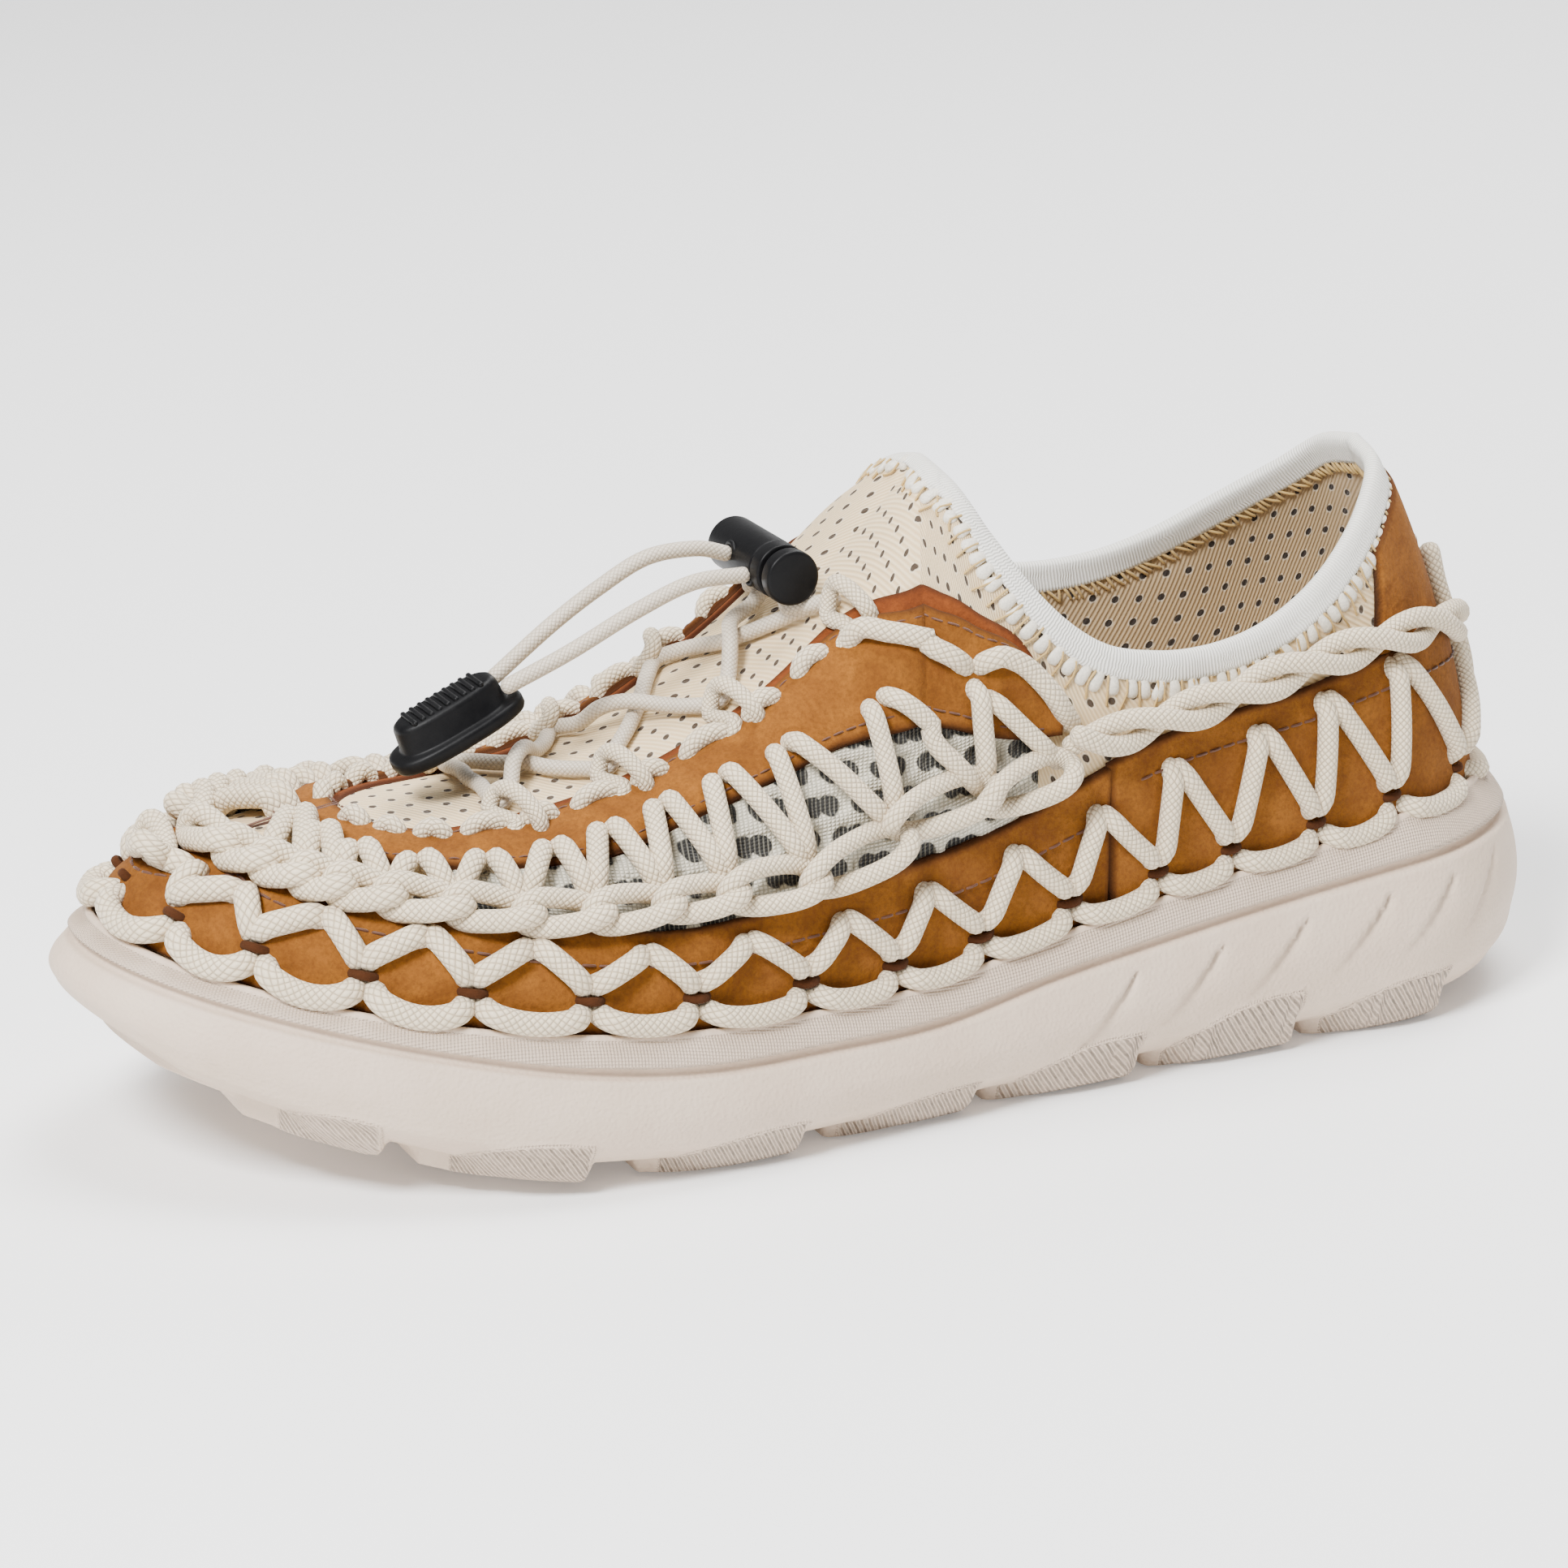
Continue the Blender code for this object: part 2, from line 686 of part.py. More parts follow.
def make_upper():
    """The bootie: one hollow wall, open at the collar and over the sole."""
    phi = upper_angles()
    h = np.linspace(0, 1, UPPER_ROWS)
    outer = lifted(phi[:, None], h[None, :], 0)
    inner = lifted(phi[:, None], h[None, :], -UPPER_WALL)
    columns, rows = outer.shape[:2]
    ridge = share(phi) > TONGUE - 1e-6
    mirrored = -np.arange(columns) % columns
    for grid in (outer, inner):
        grid[ridge, -1] = ((grid[:, -1] + grid[mirrored, -1]) / 2)[ridge]
    points = np.concatenate([outer.reshape(-1, 3), inner.reshape(-1, 3)])
    faces = grid_faces(columns, rows, closed_rows=True)
    faces += [tuple(columns * rows + k for k in face[::-1]) for face in faces]
    for i in range(columns):
        n = (i + 1) % columns
        low, next_low = i * rows, n * rows
        faces.append((low, columns * rows + low, columns * rows + next_low, next_low))
        if not (ridge[i] and ridge[n]):
            high, next_high = low + rows - 1, next_low + rows - 1
            faces.append((high, next_high, columns * rows + next_high, columns * rows + high))
    mesh_object("upper", points, faces, LOOKS["bootie"])


def side_columns():
    """Angles of the upper's columns along one side, even both along the rim and along the top edge."""
    columns = [np.zeros(1)]
    for start, end, steps in ((0, np.pi / 2, REAR_STEPS), (np.pi / 2, np.pi, FRONT_STEPS)):
        fine = np.linspace(start, end, 401)
        rim_run = np.linalg.norm(np.diff(rim(fine, 0.0), axis=0), axis=1)
        top_run = np.linalg.norm(np.diff(top_edge(fine), axis=0), axis=1)
        run = np.concatenate([[0], np.cumsum(rim_run + top_run)])
        columns.append(np.interp(np.linspace(0, run[-1], steps + 1)[1:], run, fine))
    return np.concatenate(columns)


def upper_angles():
    lateral = side_columns()
    return np.concatenate([lateral, 2 * np.pi - lateral[-2:0:-1]])


def columns_between(start, end):
    """The upper's columns between two angles, with both ends."""
    every = upper_angles()
    every = np.concatenate([every - 2 * np.pi, every])
    least = 0.02
    inside = every[(every > start + least) & (every < end - least)]
    return np.concatenate([[start], inside, [end]])


def side_columns_between(start, end, side):
    phi = columns_between(angle(start), angle(end))
    return phi if side == LATERAL else 2 * np.pi - phi


def make_foxing():
    """The suede band over the sole, round the toe from one rear quarter to the other."""
    phi = columns_between(angle(QUARTER_FRONT), angle(QUARTER_FRONT, MEDIAL))
    t = share(phi)
    low = height_share(t, -FOXING_TUCK)
    high = foxing_share("top", t)
    band("foxing", phi, low, high, 6, SUEDE, LOOKS["suede"], out=LAYER_GAP + 0.7 * GAP)


def make_rear_quarter():
    gap = 0.004
    end = angle(QUARTER_FRONT - gap)
    phi = columns_between(-end, end)
    t = share(phi)
    low = height_share(t, -FOXING_TUCK)
    high = foxing_share("top", t)
    band("rear_quarter", phi, low, high, 4, SUEDE, LOOKS["suede"])


def make_heel_tab():
    phi = columns_between(-0.34, 0.34)
    t = share(phi)
    low = foxing_share("top", t) + 0.02
    high = raised(phi, 1.0, -BINDING_WIDTH - 3 * GAP)
    band("heel_tab", phi, low, high, 3, SUEDE, LOOKS["suede"])


def make_windows():
    for side, name in ((LATERAL, "lateral"), (MEDIAL, "medial")):
        phi = side_columns_between(0.43, 0.80, side)
        t = share(phi)
        low = foxing_share("top", t) + 0.012
        high = table([row[1:3] for row in EYESTAY], 1, t) - 0.012
        band(f"window_{name}", phi, low, high, 3, MESH, LOOKS["mesh"])


def eyestay_route(run, part):
    """Angles and shares h along the eyestay, lateral wing to medial; part is 0 at the lower edge, 1 at
    the throat. The run goes from 0 at the lateral wing to 2 at the medial one."""
    run = np.asarray(run, float)
    along = np.minimum(run, 2 - run)
    t = table(EYESTAY, 1, along) * (1 - part) + table(EYESTAY, 3, along) * part
    h = table(EYESTAY, 2, along) * (1 - part) + table(EYESTAY, 4, along) * part
    return np.where(run <= 1, angle(t), angle(t, MEDIAL)), np.minimum(h, 1.0)


def make_eyestay():
    """A U of suede round the throat: the lateral wing, over the vamp before the slot, the medial wing."""
    start = EYESTAY[0]
    straight = [row for row in EYESTAY if row[3] > 0.99 * row[1]][-1]
    fine = np.linspace(0, straight[0], 401)
    columns = share(side_columns_between(start[1], straight[1], LATERAL))
    half = np.interp(columns, table(EYESTAY, 1, fine), fine)
    half = np.concatenate([half, np.linspace(straight[0], 1, EYESTAY_STEPS)[1:]])
    middle = len(half) - 1
    run = np.concatenate([half, 2 - half[-2::-1]])
    phi, h = eyestay_route(run[:, None], np.linspace(0, 1, 4)[None, :])
    outer = lifted(phi, h, LAYER_GAP + SUEDE)
    inner = lifted(phi, h, LAYER_GAP)
    for grid in (outer, inner):
        grid[middle, :, 0] = TOE_SWING * ease(0.6, 1.0, table(RIDGE, 1, share(phi[middle])))
    sheet_solid("eyestay", outer, inner, LOOKS["suede"])


def nearest_on_upper(points, angles, shares, axes=3):
    """Angle and share h of the upper's point nearest to each given one, in a window of both; with two
    axes the nearest one seen from above."""
    phi, h = np.meshgrid(np.linspace(*angles, 401), np.linspace(*shares, 61), indexing="ij")
    surface = upper(phi, h).reshape(-1, 3)[:, :axes]
    index = [np.argmin(((surface - point[:axes]) ** 2).sum(axis=1)) for point in points]
    return phi.ravel()[index], h.ravel()[index]


def make_binding():
    """The elastic binding folded over the collar's edge, all round the opening."""
    rear = side_columns()[: REAR_STEPS + 1]
    phi = np.concatenate([-rear[:0:-1], rear[:-1]])
    edge = upper(phi, 1.0)
    out = lifted(phi, 1.0, 1.0) - edge
    tip = np.array([1.0, 0, 0])
    out[0] -= tip * (out[0] @ tip)
    out[0] /= np.linalg.norm(out[0])
    along = np.roll(edge, -1, axis=0) - np.roll(edge, 1, axis=0)
    along /= np.linalg.norm(along, axis=1, keepdims=True)
    up = np.cross(along, out)
    up /= np.linalg.norm(up, axis=1, keepdims=True)
    up *= np.sign(up[:, 2:].mean())
    clear = LAYER_GAP + GAP
    window = (-2.2, 2.2), (0.6, 1.0)
    low = nearest_on_upper(edge - up * BINDING_WIDTH, *window)
    middle = nearest_on_upper(edge - up * 0.5 * BINDING_WIDTH, *window)
    inside = -UPPER_WALL - clear
    top = clear + 0.7 * BINDING
    section = (
        lifted(*low, clear),
        lifted(*low, clear + BINDING),
        lifted(*middle, clear + BINDING),
        edge + out * (clear + 0.6 * BINDING) + up * top,
        edge + out * (inside - 0.6 * BINDING) + up * top,
        lifted(*middle, inside - BINDING),
        lifted(*middle, inside),
        edge + out * inside + up * clear,
        edge + out * clear + up * clear,
        lifted(*middle, clear),
    )
    points = np.stack(section, 1)
    faces = grid_faces(len(phi), len(section), closed_rows=True, closed_columns=True)
    mesh_object("collar_binding", points, faces, LOOKS["binding"])


def foxing_stations(count):
    """Angles spaced evenly along the rim, the first at the toe."""
    phi = np.linspace(np.pi, 3 * np.pi, 721)
    places = rim(phi, -4 * MM)
    run = np.concatenate([[0], np.cumsum(np.linalg.norm(np.diff(places, axis=0), axis=1))])
    return np.interp(np.arange(count) * run[-1] / count, run, phi)


CORD_OUT = LAYER_GAP + SUEDE + CORD_RADIUS + 4 * GAP


def raised(phi, h, distance):
    """The share h that lies a distance further up the upper."""
    step = 0.01
    reach = np.linalg.norm(upper(phi, h + step) - upper(phi, h - step), axis=-1) / (2 * step)
    return h + distance / reach


def make_foxing_cords():
    """The zigzag between the two rows of holes, and the course that hangs on the sole's lip."""
    stations = foxing_stations(4 * ZIGZAGS)
    pitch = np.gradient(stations)
    step = np.arange(len(stations)) % 4
    phi = stations + np.array([-0.3, -0.7, -0.3, -0.7])[step] * pitch
    t = share(phi)
    low = height_share(t, CORD_RADIUS * 3.4)
    high = foxing_share("holes", t)
    h = np.where(step < 2, low, high)
    cord("foxing_zigzag", lifted(phi, h, CORD_OUT), CORD_RADIUS, LOOKS["cord"], closed=True)
    course = foxing_stations(2 * ZIGZAGS)
    t = share(course)
    drop = 0.6 * MM * (np.arange(len(course)) % 2 == 0)
    h = height_share(t, CORD_RADIUS + 2.5 * GAP + drop)
    cord("foxing_scallops", lifted(course, h, CORD_OUT), CORD_RADIUS, LOOKS["cord"], closed=True)


def mirror_route(lateral):
    """Angles and shares h of a lateral run, carried on over the toe and back along the medial side."""
    phi = np.array([angle(t) for t, h in lateral] + [angle(t, MEDIAL) for t, h in lateral[::-1]])
    h = np.array([h for t, h in lateral] + [h for t, h in lateral[::-1]])
    return phi, h


def make_vamp_cords():
    """The chain of links along the window and the vamp, and the zigzag up to the eyestay's holes."""
    link_radius = 1.15 * CORD_RADIUS
    out = LAYER_GAP + SUEDE + link_radius + 4 * GAP
    ends = CHAIN[0][0], CHAIN[-1][0]
    shares = share(np.linspace(angle(ends[0]), angle(ends[1]), 22))
    run = [(t, float(table(CHAIN, 1, t))) for t in shares[:-1]]
    phi, h = mirror_route(run)
    cord("vamp_chain", lifted(phi, h, out), link_radius, LOOKS["cord"])
    clear = link_radius + CORD_RADIUS + 7 * GAP
    turn = 0.7 * CORD_RADIUS / SOLE_LENGTH
    route = []
    for upper_t, upper_h, lower_t in VAMP_HOLES:
        lower_h = float(raised(angle(lower_t), float(table(CHAIN, 1, lower_t)), clear))
        route += [(lower_t - turn, lower_h), (lower_t + turn, lower_h)]
        route += [(upper_t - turn, upper_h), (upper_t + turn, upper_h)]
    phi, h = mirror_route(route)
    cord("vamp_zigzag", lifted(phi, h, out + 2 * GAP), CORD_RADIUS, LOOKS["cord"])


def make_throat_cord():
    """The running cord round the throat, which carries the elastic."""
    run = np.linspace(0.12, 1.88, 37)
    out = LAYER_GAP + SUEDE + CORD_RADIUS + 2 * GAP
    cord("throat_cord", lifted(*eyestay_route(run, 0.78), out), CORD_RADIUS, LOOKS["cord"])


def make_collar_cord():
    """The twisted cord along the top of the rear quarter, round the heel."""
    phi = np.linspace(angle(0.385, MEDIAL) - 2 * np.pi, angle(0.385), 27)
    t = share(phi)
    h = foxing_share("collar cord", t)
    out = LAYER_GAP + SUEDE + CORD_RADIUS + 2 * GAP
    cord("collar_cord", lifted(phi, h, out), CORD_RADIUS, LOOKS["cord"])


def over_ridge(along, rise, x=0.0):
    """A point at a share of the length, a rise in millimetres over the vamp's ridge."""
    t = np.linspace(TONGUE, 1, 401)
    ridge = np.interp(along, table(RIDGE, 1, t, flat_start=True), table(RIDGE, 2, t, flat_start=True))
    return np.array([x * MM, along * SOLE_LENGTH - HEEL_BACK, ridge * TONGUE_HEIGHT + rise * MM])


LOCK_CENTRE = over_ridge(0.5432, 12.7)
TAB_CENTRE = over_ridge(0.7551, 15.1)
TAB_TILT = 0.42
LACING_ENDS = (0.5391, 4.6)
LACING_SPREAD = 8.5


def make_elastic():
    """The elastic laced across the throat, one run from the lock down to the toe and back."""
    low = ELASTIC_RADIUS + 2 * GAP
    over = 2 * ELASTIC_RADIUS + 3 * GAP  # where the run back crosses the run down
    stops = [(side, *hook) for side, hook in zip((LATERAL, MEDIAL, LATERAL, MEDIAL), HOOKS)]
    stops += [(-side, t, h) for side, t, h in stops[::-1]]
    window = (angle(0.5), angle(0.5, MEDIAL)), (0.6, 1.0)
    points = [over_ridge(*LACING_ENDS, -LACING_SPREAD)]
    for i, (a, b) in enumerate(zip(stops, stops[1:])):
        ends = [upper(angle(t, side), h) for side, t, h in (a, b)]
        along = np.linspace(0, 1, 7) if i == 6 else np.linspace(0, 1, 7)[:-1]
        chord = [ends[0] + (ends[1] - ends[0]) * u for u in along]
        rise = ease(0.1, 0.4, along) * (1 - ease(0.45, 0.75, along)) * (i > 3)
        points += list(lifted(*nearest_on_upper(chord, *window, axes=2), low + over * rise))
    points.append(over_ridge(*LACING_ENDS, LACING_SPREAD))
    cord("elastic_lacing", smooth_route(points, 54), ELASTIC_RADIUS, LOOKS["elastic"])


# The two free runs of the elastic between the lock and the tab: share of the length, millimetres over the
# vamp's ridge and from the middle line
FREE_RUN_MEDIAL = (
    (0.5830, 23.3, 4.2),
    (0.6163, 28.3, 4.4),
    (0.6497, 28.2, 4.2),
    (0.6827, 25.5, 3.8),
)
FREE_RUN_LATERAL = (
    (0.5980, 22.2, -4.2),
    (0.6364, 24.0, -4.2),
    (0.6803, 22.4, -3.8),
)
TAB_GRIP = 0.79  # share of the tab's length that its grip takes


def make_free_runs():
    """Each run starts at the lock's face and ends at the grip of the tab."""
    reach = TAB_GRIP * TAB_LENGTH / 2 + 2 * GAP
    spread, rise = RUN_SPREAD, RUN_RISE
    for name, rows, side in (
        ("elastic_run_medial", FREE_RUN_MEDIAL, MEDIAL),
        ("elastic_run_lateral", FREE_RUN_LATERAL, LATERAL),
    ):
        start = LOCK_CENTRE + (side * spread, LOCK_RADIUS + 1.5 * GAP, side * rise)
        end = TAB_CENTRE + (
            side * 0.8 * spread,
            -reach * np.cos(TAB_TILT) + rise * np.sin(TAB_TILT),
            reach * np.sin(TAB_TILT) + rise * np.cos(TAB_TILT),
        )
        route = smooth_route([start, *(over_ridge(*row) for row in rows), end], 14)
        cord(name, route, ELASTIC_RADIUS, LOOKS["elastic"], sides=2)


def turned(name, profile, look, steps=20):
    """A solid of revolution about its own Z, from (radius, height) pairs down the outer side."""
    data = bpy.data.meshes.new(name)
    points = [(radius, 0, height) for radius, height in profile]
    data.from_pydata(points, [(i, i + 1) for i in range(len(points) - 1)], [])
    obj = link(bpy.data.objects.new(name, data), look)
    screw = obj.modifiers.new("turn", "SCREW")
    screw.steps = screw.render_steps = steps
    screw.use_merge_vertices = True
    screw.merge_threshold = 0.00001
    screw.use_smooth_shade = True
    return obj


def make_lock():
    """The cord lock lies across the shoe: a barrel and, at its lateral end, a push button."""
    r = LOCK_RADIUS
    end = LOCK_LENGTH / 2
    front = end - LOCK_CAP - LOCK_TRAVEL - GAP
    floor = front - LOCK_BORE_DEPTH
    barrel = turned(
        "lock_barrel",
        (
            (0, floor),
            (LOCK_BORE, floor),
            (LOCK_BORE, front),
            (r - LOCK_BEVEL, front),
            (r, front - LOCK_BEVEL),
            (r, -end + LOCK_BEVEL),
            (r - LOCK_BEVEL, -end),
            (0, -end),
        ),
        LOOKS["plastic"],
    )
    button = turned(
        "lock_button",
        (
            (0, end),
            (r - LOCK_BEVEL, end),
            (r, end - LOCK_BEVEL),
            (r, end - LOCK_CAP),
            (LOCK_BORE - GAP, end - LOCK_CAP),
            (LOCK_BORE - GAP, floor + LOCK_TRAVEL + GAP),
            (0, floor + LOCK_TRAVEL + GAP),
        ),
        LOOKS["plastic"],
    )
    for obj in (barrel, button):
        obj.location = LOCK_CENTRE
        obj.rotation_euler = (0, -np.pi / 2, 0)


def make_tab():
    """The end tab that grips both ends of the elastic: an oval plate under a raised grip."""
    data = bpy.data.meshes.new("end_tab")
    shaped = bmesh.new()
    sections = ((-0.5, 0.86), (-0.28, 1.0), (-0.22, 1.0), (-0.16, 0.74), (0.34, 0.70), (0.5, 0.52))
    steps = 16
    rings = []
    for height, size in sections:
        ring = []
        for k in range(steps):
            a = 2 * np.pi * (k + 0.5) / steps
            x = np.sign(np.cos(a)) * abs(np.cos(a)) ** 0.7 * TAB_WIDTH / 2 * size
            y = np.sign(np.sin(a)) * abs(np.sin(a)) ** 0.7 * TAB_LENGTH / 2 * (0.25 + 0.75 * size)
            ring.append(shaped.verts.new((x, y, height * TAB_HEIGHT)))
        rings.append(ring)
    for low, high in zip(rings, rings[1:]):
        for k in range(steps):
            n = (k + 1) % steps
            shaped.faces.new((low[k], low[n], high[n], high[k]))
    shaped.faces.new(rings[0][::-1])
    shaped.faces.new(rings[-1])
    shaped.to_mesh(data)
    shaped.free()
    data.shade_smooth()
    data.set_sharp_from_angle(angle=0.6)
    obj = link(bpy.data.objects.new("end_tab", data), LOOKS["plastic"])
    obj.location = TAB_CENTRE
    obj.rotation_euler = (-TAB_TILT, 0, 0)


clear_scene()
LOOKS = {
    "foam": material("foam", (0.74, 0.64, 0.55), 0.62),
    "bootie": material("bootie", (0.86, 0.75, 0.55), 0.85),
    "mesh": material("mesh", (0.76, 0.76, 0.68), 0.85),
    "suede": material("suede", (0.45, 0.15, 0.023), 0.95),
    "cord": material("cord", (0.84, 0.78, 0.67), 0.8),
    "elastic": material("elastic", (0.75, 0.69, 0.6), 0.55),
    "binding": material("binding", (0.86, 0.86, 0.83), 0.8),
    "lining": material("lining", (0.62, 0.47, 0.3), 0.9),
    "plastic": material("plastic", (0.01, 0.01, 0.011), 0.35),
}
make_sole()
make_insole()
make_upper()
make_foxing()
make_rear_quarter()
make_heel_tab()
make_windows()
make_eyestay()
make_binding()
make_foxing_cords()
make_vamp_cords()
make_throat_cord()
make_collar_cord()
make_elastic()
make_free_runs()
make_lock()
make_tab()
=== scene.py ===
"""Looks of the woven cord slip-on shoe: braided cords, suede, stretch knit, air mesh and pebbled foam.

Metres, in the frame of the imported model: +Y runs to the toe, +Z up, and the lateral side of this left shoe
is at -X. A share t runs along the sole from its back (0) to its toe (1), and a share h runs up the upper
from the sole (0) to the collar or the ridge of the vamp (1).
"""

import math

import bmesh
import bpy
import numpy as np
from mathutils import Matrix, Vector

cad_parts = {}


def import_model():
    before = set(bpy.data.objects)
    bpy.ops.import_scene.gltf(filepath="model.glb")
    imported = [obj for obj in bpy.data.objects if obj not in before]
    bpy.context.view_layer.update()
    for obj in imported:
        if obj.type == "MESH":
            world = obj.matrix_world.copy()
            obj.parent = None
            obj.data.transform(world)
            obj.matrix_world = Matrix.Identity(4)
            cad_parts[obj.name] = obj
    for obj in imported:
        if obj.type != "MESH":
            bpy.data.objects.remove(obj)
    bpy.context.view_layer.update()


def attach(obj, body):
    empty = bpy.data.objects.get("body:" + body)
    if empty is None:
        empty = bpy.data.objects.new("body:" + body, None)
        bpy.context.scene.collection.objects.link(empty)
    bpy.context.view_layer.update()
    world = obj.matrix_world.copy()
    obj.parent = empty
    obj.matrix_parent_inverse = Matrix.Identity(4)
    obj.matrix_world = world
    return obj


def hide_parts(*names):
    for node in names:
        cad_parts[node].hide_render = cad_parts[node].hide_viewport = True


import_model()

MM = 0.001
LATERAL, MEDIAL = -1, 1
TURN = 2 * np.pi

# Driving sizes, as in the solids
SOLE_LENGTH = 294 * MM
BALL_WIDTH = 108 * MM
HEEL_BACK = 46 * MM
LIP_HEIGHT = 43 * MM
LIP_INSET = 2.5 * MM
TREAD_DEPTH = 3 * MM
LUG_HEIGHT = 10 * MM
LUG_REACH = 24 * MM
GROOVE_DEPTH = 1.7 * MM
GROOVE_WIDTH = 2.3 * MM
SHELF = 2.4 * MM
FOOT_BEVEL = 3.6 * MM
TREAD_INSET = 9 * MM
WALL_BULGE = 2 * MM
CUP_DEPTH = 8 * MM
TOE_SWING = 6 * MM
COLLAR_HEIGHT = 107 * MM
COLLAR_WIDTH = 66 * MM
TONGUE_HEIGHT = 114 * MM
UPPER_INSET = 6.5 * MM
UPPER_WALL = 2 * MM
SEAT_DEPTH = 1.5 * MM
SUEDE = 1.3 * MM
BINDING_WIDTH = 9 * MM
FOXING_HEIGHT = 30 * MM
CORD_RADIUS = 2.4 * MM
ELASTIC_RADIUS = 1.5 * MM
INSOLE = 4 * MM
LOCK_RADIUS = 5.2 * MM
LOCK_LENGTH = 27 * MM
LOCK_CAP = 3.2 * MM
LOCK_TRAVEL = 1.2 * MM
TAB_LENGTH = 27 * MM
TAB_WIDTH = 13 * MM
TAB_HEIGHT = 9 * MM
TAB_TILT = 0.42
GAP = 0.3 * MM

# How far each layer's underside lies over the bootie
FOXING_BASE = 0.2 * MM
HEEL_TAB_BASE = 0.3 * MM
EYESTAY_BASE = 0.8 * MM
QUARTER_BASE = 0.9 * MM
FOXING_TUCK = 1.0 * MM

# Steps along the cords, and distances within which points are joined
CORD_STEP = 1.1 * MM
FINE_STEP = 0.8 * MM
SHEET_WELD = 0.000004
FOAM_WELD = 0.00001
PLASTIC_WELD = 0.00006
CAP_WELD = 0.00012
THREAD_WELD = CAP_WELD / 3

# The sole's plan: share of the length, half widths as shares of the ball's width
PLAN = (
    (0.00, 0.360, 0.360),
    (0.14, 0.382, 0.372),
    (0.30, 0.400, 0.350),
    (0.45, 0.430, 0.330),
    (0.58, 0.475, 0.400),
    (0.70, 0.500, 0.465),
    (0.82, 0.475, 0.460),
    (1.00, 0.400, 0.400),
)
HEEL_ROUND = 0.145
TOE_ROUND = 0.27
ROUND_POWER = 2.15

# The sole's side: share of the length, ground, groove and lip as shares of the lip's height, lip's inset
SIDE = (
    (0.00, 0.000, 0.814, 0.993, 3.40),
    (0.06, 0.000, 0.814, 1.007, 2.80),
    (0.12, 0.000, 0.791, 1.000, 2.08),
    (0.20, 0.000, 0.744, 0.921, 1.40),
    (0.33, 0.000, 0.640, 0.814, 1.00),
    (0.41, 0.000, 0.565, 0.730, 1.00),
    (0.49, 0.000, 0.474, 0.642, 1.00),
    (0.58, 0.000, 0.474, 0.633, 1.00),
    (0.66, 0.000, 0.488, 0.649, 1.00),
    (0.74, 0.035, 0.553, 0.702, 1.00),
    (0.82, 0.112, 0.658, 0.781, 1.00),
    (0.90, 0.267, 0.777, 0.879, 1.16),
    (0.96, 0.414, 0.877, 0.972, 1.52),
    (1.00, 0.605, 0.953, 1.044, 2.00),
)
GROUND, GROOVE, LIP, INSET = 1, 2, 3, 4

# The collar's edge: share of the rim, share of the length, half width, height
COLLAR = (
    (0.000, 0.112, 0.000, 1.000),
    (0.030, 0.117, 0.144, 0.981),
    (0.070, 0.138, 0.258, 0.921),
    (0.120, 0.172, 0.364, 0.850),
    (0.180, 0.212, 0.432, 0.785),
    (0.250, 0.262, 0.477, 0.743),
    (0.320, 0.320, 0.500, 0.743),
    (0.380, 0.368, 0.492, 0.785),
    (0.425, 0.400, 0.432, 0.869),
    (0.460, 0.420, 0.318, 0.963),
    (0.485, 0.430, 0.167, 1.037),
    (0.500, 0.434, 0.000, 1.065),
)
TONGUE = 0.5

# The ridge from the tongue to the toe: share of the rim, share of the length, share of the tongue's height
RIDGE = (
    (0.50, 0.434, 1.000),
    (0.55, 0.490, 0.860),
    (0.60, 0.552, 0.728),
    (0.65, 0.615, 0.627),
    (0.70, 0.672, 0.566),
    (0.76, 0.740, 0.535),
    (0.82, 0.805, 0.522),
    (0.88, 0.865, 0.509),
    (0.94, 0.915, 0.487),
    (1.00, 0.935, 0.470),
)

# The upper's cross section: share of the rim, angle at the top, power, straightness of the wall
SECTION = (
    (0.00, 0.55, 2.00, 0.50),
    (0.12, 0.60, 2.00, 0.45),
    (0.25, 0.95, 2.00, 0.25),
    (0.38, 1.25, 2.00, 0.03),
    (0.50, 1.50, 2.00, 0.00),
    (0.60, 1.57, 2.04, 0.00),
    (0.85, 1.57, 2.10, 0.00),
    (1.00, 1.57, 2.00, 0.00),
)

# The foxing's top above the lip, as a share of its height
FOXING = (
    (0.00, 0.95),
    (0.12, 0.97),
    (0.20, 0.98),
    (0.28, 1.00),
    (0.34, 0.97),
    (0.38, 0.90),
    (0.43, 0.81),
    (0.50, 0.76),
    (0.58, 0.67),
    (0.66, 0.56),
    (0.74, 0.54),
    (0.84, 0.57),
    (0.92, 0.57),
    (1.00, 0.55),
)
QUARTER_FRONT = 0.36

# The eyestay: share of its run, lower edge (share of the rim, share h), throat edge (the same)
EYESTAY = (
    (0.00, 0.400, 0.54, 0.400, 0.66),
    (0.06, 0.430, 0.47, 0.430, 0.71),
    (0.14, 0.470, 0.41, 0.470, 0.63),
    (0.22, 0.510, 0.38, 0.510, 0.58),
    (0.30, 0.550, 0.44, 0.550, 0.69),
    (0.40, 0.600, 0.49, 0.600, 0.71),
    (0.50, 0.650, 0.53, 0.650, 0.74),
    (0.60, 0.700, 0.54, 0.700, 0.76),
    (0.71, 0.760, 0.57, 0.757, 0.76),
    (0.81, 0.812, 0.62, 0.800, 0.77),
    (0.87, 0.842, 0.68, 0.820, 0.82),
    (0.92, 0.862, 0.77, 0.832, 0.88),
    (0.96, 0.874, 0.88, 0.838, 0.94),
    (1.00, 0.879, 1.00, 0.840, 1.00),
)

